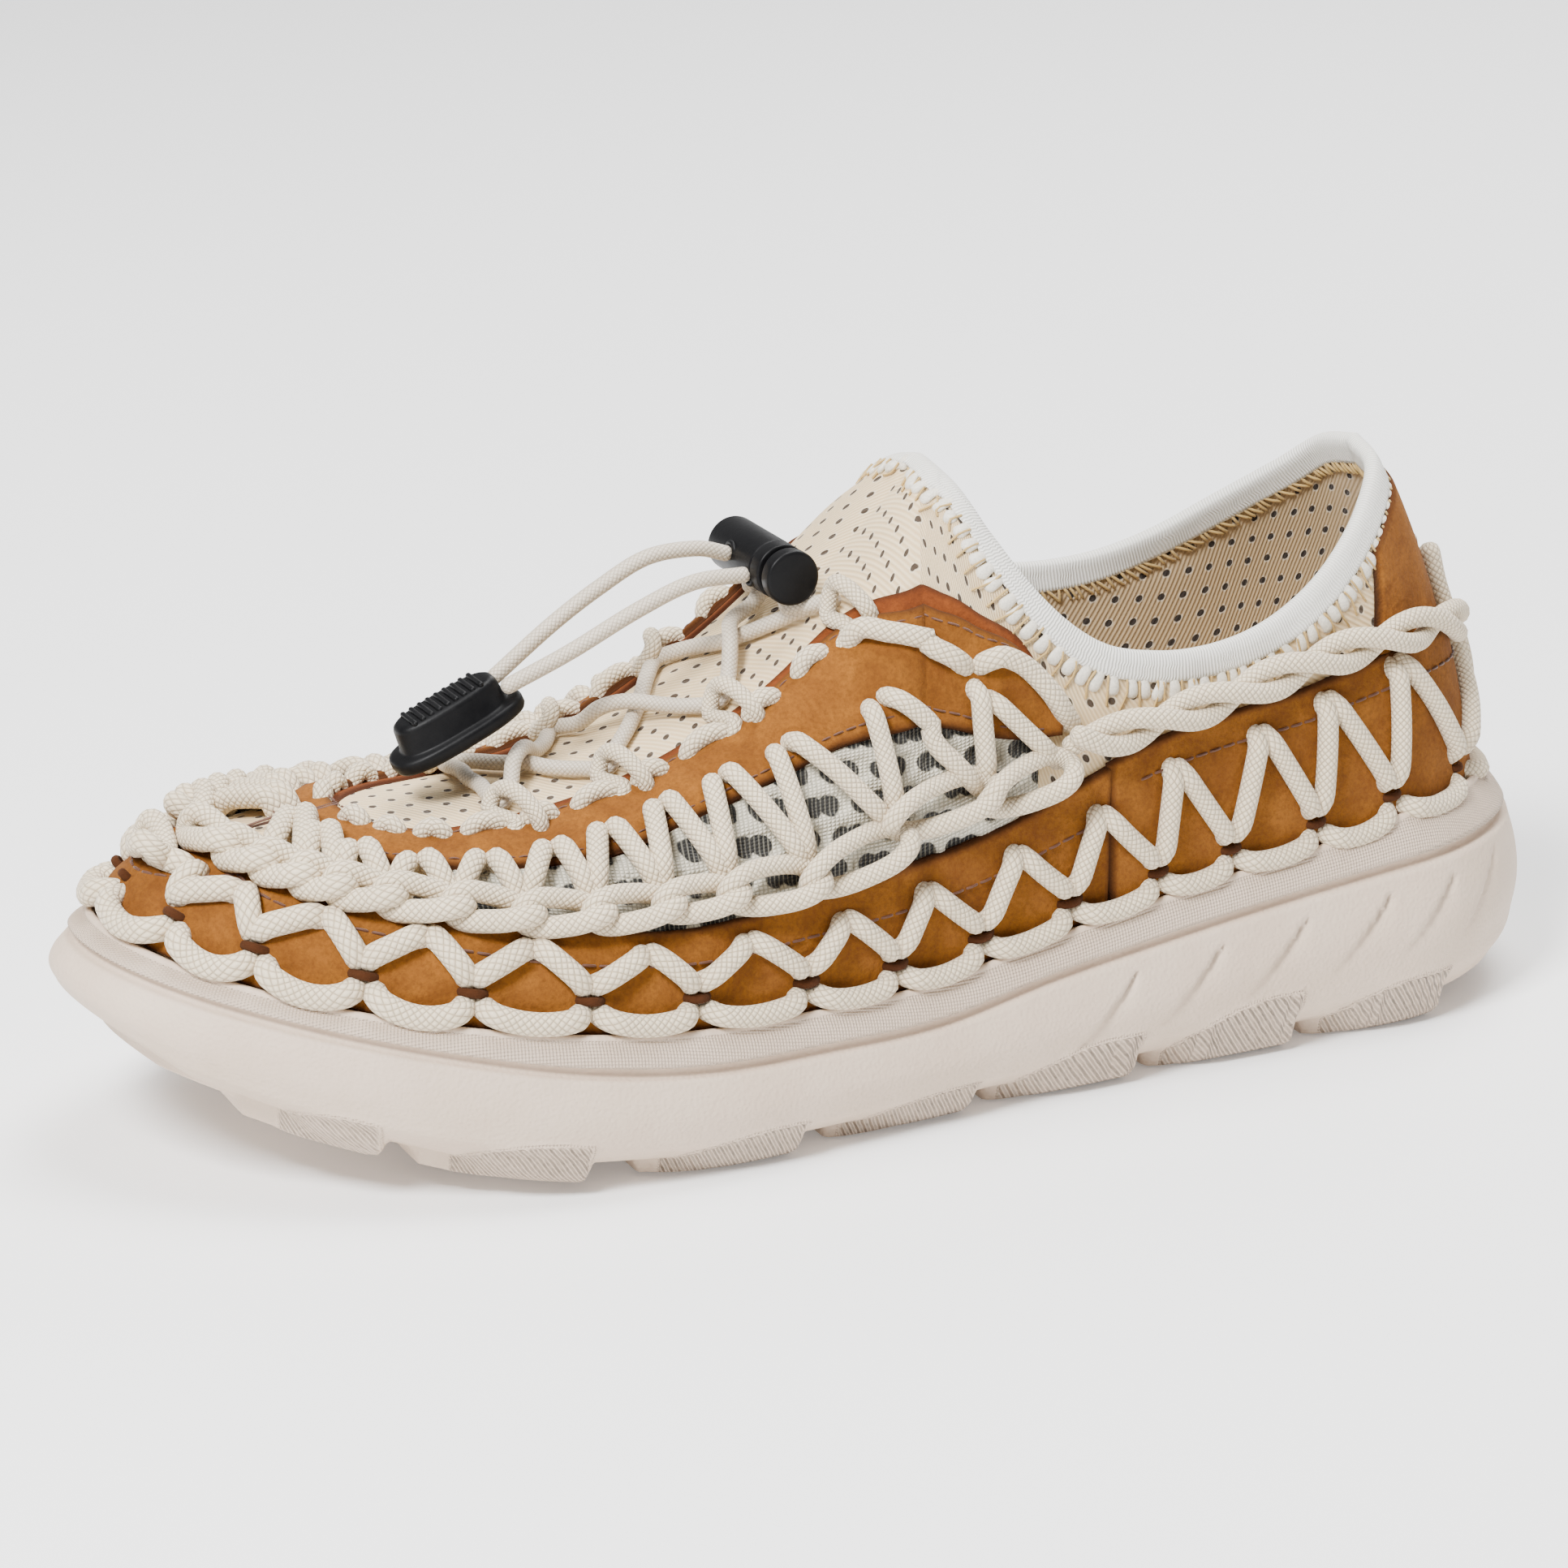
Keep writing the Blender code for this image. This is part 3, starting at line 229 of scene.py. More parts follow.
# Lug pads along the rim: shares of the length where each starts and ends, share of the pads' height
LUGS = (
    (0.106, 0.214, 1.00),
    (0.225, 0.335, 1.15),
    (0.345, 0.455, 0.95),
    (0.465, 0.573, 0.65),
    (0.592, 0.703, 0.70),
    (0.735, 0.833, 0.80),
    (0.856, 0.925, 0.70),
)
RESTS = ((0.115, 0.215, 15 * MM), (0.56, 0.66, 20 * MM))
SLASHES = (0.060, 0.105, 0.158, 0.223, 0.287, 0.352)
SLASH_HEIGHT = 15 * MM
SLASH_DEPTH = 2.0 * MM
GROOVE_ROWS = 7

# Lower holes of the foxing's zigzag and, between them, its upper holes: share of the rim, millimetres
# above the lip
LOWER_HOLES = (
    (1.000, 8.6),
    (0.970, 8.4),
    (0.925, 8.0),
    (0.867, 7.8),
    (0.805, 7.6),
    (0.733, 7.6),
    (0.662, 7.6),
    (0.585, 7.4),
    (0.520, 7.2),
    (0.457, 7.2),
    (0.392, 7.2),
    (0.328, 7.0),
    (0.273, 6.8),
    (0.207, 6.4),
    (0.145, 5.8),
    (0.065, 5.2),
)
UPPER_HOLES = (
    (0.948, 12.8),
    (0.922, 12.9),
    (0.880, 12.9),
    (0.825, 13.0),
    (0.765, 13.0),
    (0.693, 12.8),
    (0.625, 13.8),
    (0.558, 15.0),
    (0.498, 17.1),
    (0.433, 18.1),
    (0.373, 20.0),
    (0.318, 24.2),
    (0.248, 25.1),
    (0.188, 26.6),
    (0.118, 27.3),
    (0.000, 27.0),
)

# Course of the chain of links: share of the rim, share h
CHAIN = (
    (0.390, 0.51),
    (0.410, 0.42),
    (0.450, 0.32),
    (0.500, 0.25),
    (0.550, 0.24),
    (0.600, 0.27),
    (0.650, 0.325),
    (0.700, 0.355),
    (0.760, 0.38),
    (0.800, 0.42),
    (0.835, 0.46),
    (0.860, 0.50),
    (0.880, 0.55),
    (0.902, 0.64),
    (0.917, 0.73),
    (0.930, 0.86),
    (0.938, 1.00),
)

# The zigzag between the eyestay and the chain: share of the rim and share h of each upper hole, share of
# the rim where the links behind it join
VAMP_HOLES = (
    (0.463, 0.50, 0.405),
    (0.532, 0.475, 0.457),
    (0.592, 0.55, 0.522),
    (0.630, 0.59, 0.582),
    (0.667, 0.615, 0.635),
    (0.703, 0.615, 0.677),
    (0.738, 0.61, 0.722),
    (0.778, 0.61, 0.765),
    (0.817, 0.63, 0.805),
    (0.848, 0.71, 0.842),
    (0.862, 0.83, 0.868),
    (0.868, 0.94, 0.886),
)

# Joints of the links ahead of the last of these holes: shares of the rim
CHAIN_FRONT = [0.905, 0.922, 0.938]

# Course of the twisted cord along the rear quarter: share of the rim, share h
COLLAR_CORD = (
    (0.000, 0.420),
    (0.030, 0.460),
    (0.065, 0.545),
    (0.113, 0.645),
    (0.145, 0.705),
    (0.193, 0.770),
    (0.240, 0.780),
    (0.283, 0.745),
    (0.317, 0.700),
    (0.350, 0.635),
    (0.385, 0.560),
    (0.398, 0.535),
)

# The elastic's hooks down the throat: share of the rim, share h
HOOKS = (
    (0.550, 0.76),
    (0.620, 0.79),
    (0.688, 0.82),
    (0.755, 0.82),
)


def table(rows, column, s, flat_start=False, flat_end=False):
    """A smooth curve through one column of a table; a flat end has no slope."""
    rows = np.asarray(rows, float)
    x = rows[:, 0]
    y = rows[:, column]
    slope = np.gradient(y, x)
    if flat_start:
        slope[0] = 0
    if flat_end:
        slope[-1] = 0
    s = np.clip(np.asarray(s, float), x[0], x[-1])
    i = np.clip(np.searchsorted(x, s, side="right") - 1, 0, len(x) - 2)
    step = x[i + 1] - x[i]
    u = (s - x[i]) / step
    rise = (3 - 2 * u) * u**2
    bend = ((1 - u) ** 2 * u * slope[i] - (1 - u) * u**2 * slope[i + 1]) * step
    return y[i] + (y[i + 1] - y[i]) * rise + bend


def ease(start, end, s):
    u = np.clip((np.asarray(s, float) - start) / (end - start), 0, 1)
    return u * u * (3 - 2 * u)


def share(phi):
    """Share of the length at an angle round the shoe: heel 0, toe pi, back by the medial side."""
    return (1 - np.cos(phi)) / 2


def side_of(phi):
    return np.where(np.sin(phi) >= 0, LATERAL, MEDIAL)


def angle(t, side=LATERAL):
    phi = np.arccos(np.clip(1 - 2 * np.asarray(t, float), -1, 1))
    return phi if side == LATERAL else TURN - phi


def plan(phi):
    t = share(phi)
    side = side_of(phi)
    heel = np.clip(1 - t / HEEL_ROUND, 0, 1) ** ROUND_POWER
    toe = np.clip(1 - (1 - t) / TOE_ROUND, 0, 1) ** ROUND_POWER
    rounding = np.maximum((1 - heel) * (1 - toe), 0) ** (1 / ROUND_POWER)
    half = np.where(side < 0, table(PLAN, 1, t), table(PLAN, 2, t)) * BALL_WIDTH
    x = side * half * rounding + TOE_SWING * ease(0.6, 1.0, t)
    return np.stack([x, t * SOLE_LENGTH - HEEL_BACK], -1)


def rim(phi, out):
    """The outline moved outward."""
    step = 2e-3
    along = plan(phi + step) - plan(phi - step)
    normal = np.stack([-along[..., 1], along[..., 0]], -1)
    normal /= np.linalg.norm(normal, axis=-1, keepdims=True)
    return plan(phi) + normal * np.broadcast_to(out, np.shape(phi))[..., None]


def level(column, t):
    return table(SIDE, column, t) * LIP_HEIGHT


def ground(t):
    rows = np.asarray(SIDE)
    return np.interp(t, rows[:, 0], rows[:, GROUND]) * LIP_HEIGHT


def lip_inset(t):
    return table(SIDE, INSET, t) * LIP_INSET


def feather_inset(t):
    return UPPER_INSET - LIP_INSET + lip_inset(t)


def top_edge(phi):
    """The collar's edge behind the tongue, and the ridge of the vamp before it."""
    t = share(phi)
    rear = np.minimum(t, TONGUE)
    front = np.maximum(t, TONGUE)
    behind = t < TONGUE
    half = side_of(phi) * table(COLLAR, 2, rear, flat_end=True) * COLLAR_WIDTH
    along = np.where(behind, table(COLLAR, 1, rear, flat_end=True), table(RIDGE, 1, front, flat_start=True))
    height = np.where(
        behind,
        table(COLLAR, 3, rear, flat_end=True) * COLLAR_HEIGHT,
        table(RIDGE, 2, front, flat_start=True) * TONGUE_HEIGHT,
    )
    x = np.where(behind, half, 0) + TOE_SWING * ease(0.6, 1.0, along)
    return np.stack([x, along * SOLE_LENGTH - HEEL_BACK, height], -1)


def seat_height(t):
    return level(LIP, t) - SEAT_DEPTH


def upper(phi, h):
    """The bootie's outer face."""
    phi, h = np.broadcast_arrays(np.asarray(phi, float), np.asarray(h, float))
    t = share(phi)
    foot = rim(phi, -feather_inset(t))
    low = seat_height(t)
    top = top_edge(phi)
    turn = table(SECTION, 1, t)
    power = 2 / table(SECTION, 2, t)
    straight = table(SECTION, 3, t)
    inward = (1 - np.maximum(np.cos(h * turn), 0) ** power) / (1 - np.maximum(np.cos(turn), 0) ** power)
    inward = inward * (1 - straight) + h * straight
    upward = np.sin(np.maximum(h * turn, 0)) ** power / np.sin(turn) ** power
    return np.stack(
        [
            foot[..., 0] + (top[..., 0] - foot[..., 0]) * inward,
            foot[..., 1] + (top[..., 1] - foot[..., 1]) * inward,
            low + (top[..., 2] - low) * upward,
        ],
        -1,
    )


def normal_at(phi, h):
    step = 2e-3
    inside = np.clip(h, 0.02, 0.98)
    up = upper(phi, inside + step) - upper(phi, inside - step)
    round_ = upper(phi + step, inside) - upper(phi - step, inside)
    normal = np.cross(up, round_)
    return normal / np.linalg.norm(normal, axis=-1, keepdims=True)


# Soft folds of the bootie and of what lies on it: share of the rim, share h, length and width of the fold
# in shares, angle of the fold, depth in millimetres
FOLDS = (
    (0.470, 0.74, 0.050, 0.020, 0.5, -0.8),
    (0.450, 0.66, 0.045, 0.022, 0.8, 0.7),
    (0.400, 0.72, 0.040, 0.030, 0.2, -0.6),
    (0.330, 0.84, 0.060, 0.030, -0.1, -0.5),
    (0.600, 0.88, 0.030, 0.030, 1.2, -0.7),
    (0.640, 0.90, 0.030, 0.026, 1.2, 0.5),
    (0.700, 0.90, 0.026, 0.030, 1.3, -0.6),
    (0.560, 0.86, 0.030, 0.030, 1.0, -0.6),
    (0.180, 0.86, 0.040, 0.030, 0.2, 0.5),
)


def folds(phi, h):
    """Height of the soft folds, the same on both sides."""
    t = share(phi)
    total = np.zeros(np.broadcast(t, h).shape)
    for at, up, length, width, turn, depth in FOLDS:
        a = (t - at) * np.cos(turn) + (h - up) * np.sin(turn) * 0.4
        b = -(t - at) * np.sin(turn) + (h - up) * np.cos(turn) * 0.4
        total = total + depth * MM * np.exp(-((a / length) ** 2) - (b / width) ** 2)
    return total


def lifted(phi, h, out):
    """A point over the bootie's outer face, or under it where out is negative."""
    phi, h, out = np.broadcast_arrays(np.asarray(phi, float), np.asarray(h, float), np.asarray(out, float))
    return upper(phi, h) + normal_at(phi, h) * (out + folds(phi, h))[..., None]


def height_share(t, above_lip):
    """The share h at a height above the lip."""
    low = seat_height(t)
    top = top_edge(angle(t))[..., 2]
    turn = table(SECTION, 1, t)
    power = 2 / table(SECTION, 2, t)
    rise = np.clip((level(LIP, t) + above_lip - low) / (top - low), 0, 1)
    sine = np.clip(rise * np.sin(turn) ** power, 0, 1) ** (1 / power)
    return np.arcsin(np.clip(sine, 0, 1)) / turn


def raised(phi, h, distance):
    """The share h that lies a distance further up the upper."""
    step = 0.01
    reach = np.linalg.norm(upper(phi, h + step) - upper(phi, h - step), axis=-1) / (2 * step)
    return h + distance / reach


def run_length(points):
    """Distance along a row of points, from its first."""
    return np.concatenate([[0], np.cumsum(np.linalg.norm(np.diff(points, axis=0), axis=-1))])


def even(points, spacing, closed=False):
    """A smooth curve through a few rows of numbers, cut into even steps; the first three are a place."""
    points = np.asarray(points, float)
    if closed:
        points = np.vstack([points[-1:], points, points[:2]])
    else:
        points = np.vstack([2 * points[0] - points[1], points, 2 * points[-1] - points[-2]])
    u = np.linspace(0, 1, 10, endpoint=False)[:, None]
    fine = [
        0.5 * (2 * b + (c - a) * u + (2 * a - 5 * b + 4 * c - d) * u**2 + (3 * b - a - 3 * c + d) * u**3)
        for a, b, c, d in zip(points, points[1:], points[2:], points[3:])
    ]
    fine = np.vstack([*fine, points[-2:-1]])
    run = run_length(fine[:, :3])
    count = max(int(round(run[-1] / spacing)), 3) + 1
    wanted = np.linspace(0, run[-1], count)
    if closed:
        wanted = wanted[:-1]
    return np.stack([np.interp(wanted, run, fine[:, i]) for i in range(fine.shape[1])], -1)


def corners(rows, columns, wrap_rows=False, wrap_columns=False):
    """Quads of a grid whose points are numbered row by row, and the row and column of each corner."""
    i = np.arange(rows if wrap_rows else rows - 1)[:, None]
    j = np.arange(columns if wrap_columns else columns - 1)[None, :]
    i, j = (a.ravel() for a in np.broadcast_arrays(i, j))
    at = np.stack([(i, j), (i, j + 1), (i + 1, j + 1), (i + 1, j)], 0).transpose(2, 0, 1)
    return at[..., 0] % rows * columns + at[..., 1] % columns, at


def cord_radius(t):
    """The cord is slacker and fatter round the toe than along the quarter."""
    return CORD_RADIUS * (0.83 + 0.15 * ease(0.55, 0.95, t))


class Build:
    """Points, faces, UVs and one value a point, gathered into one mesh object."""

    def __init__(self):
        self.points, self.quads, self.uvs, self.values, self.looks = [], [], [], [], []
        self.count = 0

    def grid(self, points, uv, value=None, wrap_rows=False, wrap_columns=False, look=0, flip=False):
        """A grid of points (rows, columns, 3); uv is given for one more row and column where it wraps."""
        rows, columns = points.shape[:2]
        quads, at = corners(rows, columns, wrap_rows, wrap_columns)
        uvs = uv[at[..., 0], at[..., 1]]
        if flip:
            quads, uvs = quads[:, ::-1], uvs[:, ::-1]
        self.quads.append(quads + self.count)
        self.uvs.append(uvs)
        self.looks.append(np.full(len(quads), look))
        self.points.append(points.reshape(-1, 3))
        self.values.append(np.zeros(rows * columns) if value is None else np.ravel(value))
        self.count += rows * columns

    def done(self, name, looks, body="shoe", slot=None, replaces=(), weld=0.0):
        data = bpy.data.meshes.new(name)
        points = np.concatenate(self.points).astype(np.float32)
        quads = np.concatenate(self.quads).astype(np.int32)
        data.vertices.add(len(points))
        data.vertices.foreach_set("co", points.ravel())
        data.loops.add(quads.size)
        data.loops.foreach_set("vertex_index", quads.ravel())
        data.polygons.add(len(quads))
        data.polygons.foreach_set("loop_start", np.arange(0, quads.size, 4, dtype=np.int32))
        data.polygons.foreach_set("material_index", np.concatenate(self.looks).astype(np.int32))
        data.update(calc_edges=True)
        layer = data.uv_layers.new(name="UVMap")
        layer.data.foreach_set("uv", np.concatenate(self.uvs).astype(np.float32).ravel())
        value = data.attributes.new("value", "FLOAT", "POINT")
        value.data.foreach_set("value", np.concatenate(self.values).astype(np.float32))
        if weld:
            shaped = bmesh.new()
            shaped.from_mesh(data)
            bmesh.ops.remove_doubles(shaped, verts=shaped.verts, dist=weld)
            bmesh.ops.dissolve_degenerate(shaped, edges=shaped.edges, dist=weld)
            shaped.to_mesh(data)
            shaped.free()
        data.validate()
        data.shade_smooth()
        obj = bpy.data.objects.new(name, data)
        bpy.context.scene.collection.objects.link(obj)
        for look in looks:
            data.materials.append(look)
        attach(obj, body)
        if replaces:
            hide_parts(*replaces)
        return obj


def add_tube(build, points, radius, up, sides=12, flat=1.0, closed=False, grain=None, look=0, phase=0.0):
    """A round or flattened tube with round ends; up is the direction of its short axis at each point.
    Its UV runs once round the tube, and along it in lengths of the circumference. The last little hole of
    each cap is left for the weld."""
    points = np.asarray(points, float)
    radius = np.broadcast_to(radius, len(points)).copy()
    if closed:
        along = np.roll(points, -1, axis=0) - np.roll(points, 1, axis=0)
    else:
        along = np.gradient(points, axis=0)
    along /= np.linalg.norm(along, axis=1, keepdims=True)
    up = np.broadcast_to(up, points.shape)
    across = np.cross(along, up)
    across /= np.linalg.norm(across, axis=1, keepdims=True)
    up = np.cross(across, along)
    run = run_length(points)
    if closed:
        last = run[-1] + np.linalg.norm(points[0] - points[-1])
        run = np.append(run, last)
    else:
        caps = np.radians([88, 62, 32])
        first = [points[0] - along[0] * radius[0] * np.sin(a) * 0.8 for a in caps]
        final = [points[-1] + along[-1] * radius[-1] * np.sin(a) * 0.8 for a in caps[::-1]]
        points = np.vstack([first, points, final])
        radius = np.concatenate([radius[0] * np.cos(caps), radius, radius[-1] * np.cos(caps[::-1])])
        up = np.vstack([up[:1]] * 3 + [up] + [up[-1:]] * 3)
        across = np.vstack([across[:1]] * 3 + [across] + [across[-1:]] * 3)
        beyond = radius[3] * np.array([0.4, 0.7, 0.9])
        run = np.concatenate([run[0] - beyond[::-1], run, run[-1] + beyond])
    a = np.arange(sides) * TURN / sides
    ring = np.cos(a)[None, :, None] * across[:, None] + flat * np.sin(a)[None, :, None] * up[:, None]
    grid = points[:, None] + ring * radius[:, None, None]
    scale = grain or TURN * float(np.median(radius))
    u = np.arange(sides + 1) / sides + phase
    uv = np.stack(np.broadcast_arrays(u[None, :], (run / scale)[:, None]), -1)
    build.grid(grid, uv, wrap_rows=closed, wrap_columns=True, look=look, flip=True)
    if not closed:
        for row, at in ((0, grid[0]), (1, grid[-1])):
            middle = at.mean(axis=0)
            disc = np.stack([at, middle + 0.02 * (at - middle)])
            build.grid(disc, uv[:2] * 0 + 0.5, wrap_columns=True, look=look, flip=bool(row))


def cord_done(build, name, node, kind="cord"):
    return build.done(name, [LOOKS[kind]], slot=kind, replaces=[node], weld=CAP_WELD)


def lay_cord(build, route, radius, spacing=CORD_STEP, **settings):
    """A cord along a route of angle, share h and height over the bootie, smoothed and cut evenly."""
    route = np.asarray(route, float)
    places = lifted(*route.T)
    _, _, _, phi, h, out = even(np.hstack([places, route]), spacing).T
    add_tube(build, lifted(phi, h, out), radius, normal_at(phi, h), **settings)


# Length over which a cord comes up out of its hole
DIP = 3.4 * MM


def sausage(build, start, end, low, high, radius, sag=0.0):
    """A stretch of cord between two holes: it comes out of one, lies on the surface and goes into the
    other. start and end are (angle, share h); sag pulls its middle down, in share h."""
    u = np.linspace(0, 1, 41)
    phi = start[0] + (end[0] - start[0]) * u
    h = start[1] + (end[1] - start[1]) * u - sag * np.sin(np.pi * u) ** 0.8
    flat = upper(phi, h)
    run = run_length(flat)
    near = np.minimum(run, run[-1] - run)
    out = low + (high - low) * round_rise(near, DIP)
    lay_cord(build, np.stack([phi, h, out], -1)[::3], radius)


def round_rise(near, reach):
    """0 at a hole and 1 beyond the reach, along a quarter of a circle."""
    return np.sqrt(1 - (1 - np.clip(near / reach, 0, 1)) ** 2)


def point_at(t, side, h):
    return float(angle(t, side)), float(h)


def nearest_on_upper(points, angles, shares, axes=3):
    phi, h = np.meshgrid(np.linspace(*angles, 401), np.linspace(*shares, 61), indexing="ij")
    surface = upper(phi, h).reshape(-1, 3)[:, :axes]
    index = [np.argmin(((surface - point[:axes]) ** 2).sum(axis=1)) for point in points]
    return phi.ravel()[index], h.ravel()[index]


class Shader:
    """A Principled material, and short ways to add nodes to it."""

    def __init__(self, name, colour, roughness, **values):
        self.material = bpy.data.materials.new(name)
        self.material.use_nodes = True
        self.tree = self.material.node_tree
        self.main = self.tree.nodes["Principled BSDF"]
        self.main.inputs["Base Color"].default_value = (*colour, 1)
        self.main.inputs["Roughness"].default_value = roughness
        for key, value in values.items():
            self.main.inputs[key.replace("_", " ")].default_value = value

    def add(self, kind, **settings):
        node = self.tree.nodes.new(kind)
        for key, value in settings.items():
            setattr(node, key, value)
        return node

    def join(self, value, socket):
        if isinstance(value, bpy.types.NodeSocket):
            self.tree.links.new(value, socket)
        else:
            socket.default_value = value

    def math(self, operation, a, b=0.0, clamp=False):
        node = self.add("ShaderNodeMath", operation=operation, use_clamp=clamp)
        self.join(a, node.inputs[0])
        self.join(b, node.inputs[1])
        return node.outputs[0]

    def uv(self, name="UVMap"):
        node = self.add("ShaderNodeUVMap", uv_map=name)
        split = self.add("ShaderNodeSeparateXYZ")
        self.tree.links.new(node.outputs[0], split.inputs[0])
        return split.outputs[0], split.outputs[1]

    def place(self):
        return self.add("ShaderNodeTexCoord").outputs["Object"]

    def value(self):
        return self.add("ShaderNodeAttribute", attribute_name="value").outputs["Fac"]

    def noise(self, size, detail=3.0, rough=0.6, place=None, distortion=0.0):
        """Noise whose blots are about one size across, in metres."""
        node = self.add("ShaderNodeTexNoise")
        self.tree.links.new(place or self.place(), node.inputs["Vector"])
        node.inputs["Scale"].default_value = 1 / size
        node.inputs["Detail"].default_value = detail
        node.inputs["Roughness"].default_value = rough
        node.inputs["Distortion"].default_value = distortion
        return node.outputs[0]

    def cells(self, size, vector=None, kind="F1", random=1.0, dimensions="3D"):
        node = self.add("ShaderNodeTexVoronoi", feature=kind, voronoi_dimensions=dimensions)
        self.tree.links.new(vector or self.place(), node.inputs["Vector"])
        node.inputs["Scale"].default_value = 1 / size
        node.inputs["Randomness"].default_value = random
        return node.outputs["Distance"]

    def span(self, value, low, high, to_low=0.0, to_high=1.0):
        node = self.add("ShaderNodeMapRange")
        self.join(value, node.inputs[0])
        for socket, number in zip(node.inputs[1:5], (low, high, to_low, to_high)):
            socket.default_value = number
        return node.outputs[0]

    def mix(self, factor, a, b, kind="MIX"):
        node = self.add("ShaderNodeMix", data_type="RGBA", blend_type=kind)
        self.join(factor, node.inputs[0])
        for value, socket in ((a, node.inputs[6]), (b, node.inputs[7])):
            self.join((*value, 1) if isinstance(value, tuple) else value, socket)
        return node.outputs[2]

    def bump(self, *heights):
        """Bumps in a row: (height, depth in metres) each."""
        last = None
        for height, depth in heights:
            node = self.add("ShaderNodeBump")
            node.inputs["Distance"].default_value = depth
            self.tree.links.new(height, node.inputs["Height"])
            if last:
                self.tree.links.new(last, node.inputs["Normal"])
            last = node.outputs[0]
        self.tree.links.new(last, self.main.inputs["Normal"])

    def colour(self, socket):
        self.tree.links.new(socket, self.main.inputs["Base Color"])


def braid_look(name, light, dark, roughness, around, step, depth, sheen=0.2):
    """A round braid: pillows in staggered rows, around of them round the cord and one a step along it.
    The step is a share of the circumference."""
    s = Shader(name, light, roughness, Sheen_Weight=sheen, Sheen_Roughness=0.5)
    u, v = s.uv()
    a = s.math("MULTIPLY", u, np.pi * around / 2)
    b = s.math("MULTIPLY", v, np.pi / step / 2)
    one, other = (s.math("SINE", s.math(way, a, b)) for way in ("ADD", "SUBTRACT"))
    weave = s.math("ABSOLUTE", s.math("MULTIPLY", one, other))
    fibre = s.noise(0.35 * MM, 2.0)
    height = s.math("ADD", s.math("POWER", weave, 0.6), s.math("MULTIPLY", fibre, 0.25))
    worn = s.noise(14 * MM, 2.0)
    # Painted shade: the valleys between the braid's pillows take the dark colour
    tone = s.mix(s.span(s.math("POWER", weave, 0.5), 0.1, 0.75), dark, light)
    s.colour(s.mix(s.span(worn, 0.35, 0.75, 0.0, 0.16), tone, tuple(0.8 * c for c in dark)))
    s.bump((height, depth))
    return s.material


def suede_look(name, light, dark, edge):
    """Suede: blotches of nap, a fine grain and darker towards the edges; value is the distance to the edge,
    in mm.
    """
    s = Shader(name, light, 0.95, Sheen_Weight=0.06, Sheen_Roughness=0.5, Specular_IOR_Level=0.2)
    s.main.inputs["Sheen Tint"].default_value = (0.9, 0.5, 0.25, 1)
    blot = s.noise(9 * MM, 4.0, 0.65, distortion=0.6)
    grain = s.noise(0.8 * MM, 4.0, 0.75)
    tone = s.mix(s.span(blot, 0.32, 0.7), dark, light)
    tone = s.mix(s.span(grain, 0.42, 0.72, 0.0, 0.6), tone, tuple(0.55 * c for c in dark))
    rim_dark = s.span(s.value(), 0.1, 1.8, 0.95, 0.0)
    s.colour(s.mix(rim_dark, tone, edge))
    s.bump((blot, 0.5 * MM), (grain, 0.22 * MM))
    return s.material


def foam_look():
    """Moulded foam: a knurled band over the groove, a finely pebbled wall below it; value is 1 on the
    band, -1 in the groove, 2 on the ribbed lugs and 0 elsewhere."""
    s = Shader("foam_pebbled", (0.66, 0.55, 0.47), 0.62, Specular_IOR_Level=0.35)
    u, v = s.uv()
    pitch = 1.25
    a = s.math("MULTIPLY", s.math("ADD", u, v), TURN / pitch)
    b = s.math("MULTIPLY", s.math("SUBTRACT", u, v), TURN / pitch)
    knurl = s.math("MULTIPLY", s.math("SINE", a), s.math("SINE", b))
    kind = s.value()
    on_band = s.math("MULTIPLY", s.span(kind, 0.4, 0.9), s.span(kind, 1.1, 1.5, 1.0, 0.0))
    on_lug = s.span(kind, 1.6, 1.95)
    slant = s.math("ADD", s.math("MULTIPLY", u, 0.85), s.math("MULTIPLY", v, 0.55))
    ribs = s.math("SINE", s.math("MULTIPLY", slant, TURN / 1.5))
    pebble = s.cells(0.75 * MM, kind="SMOOTH_F1")
    soft = s.noise(22 * MM, 3.0)
    tone = s.mix(s.span(soft, 0.3, 0.75), (0.58, 0.45, 0.345), (0.65, 0.52, 0.41))
    # Painted shade: the knurl's hollows on the band are painted darker
    tone = s.mix(s.math("MULTIPLY", on_band, s.span(knurl, -0.9, 0.2, 0.28, 0.0)), tone, (0.33, 0.24, 0.18))
    # Painted shade: the groove, where value is -1, is painted dark
    s.colour(s.mix(s.span(kind, -1.0, -0.2, 0.75, 0.0), tone, (0.20, 0.14, 0.10)))
    s.bump(
        (s.math("MULTIPLY", pebble, s.span(on_band, 0.0, 1.0, 1.0, 0.2)), 0.16 * MM),
        (s.math("MULTIPLY", knurl, on_band), 0.16 * MM),
        (s.math("MULTIPLY", ribs, on_lug), 0.5 * MM),
    )
    return s.material


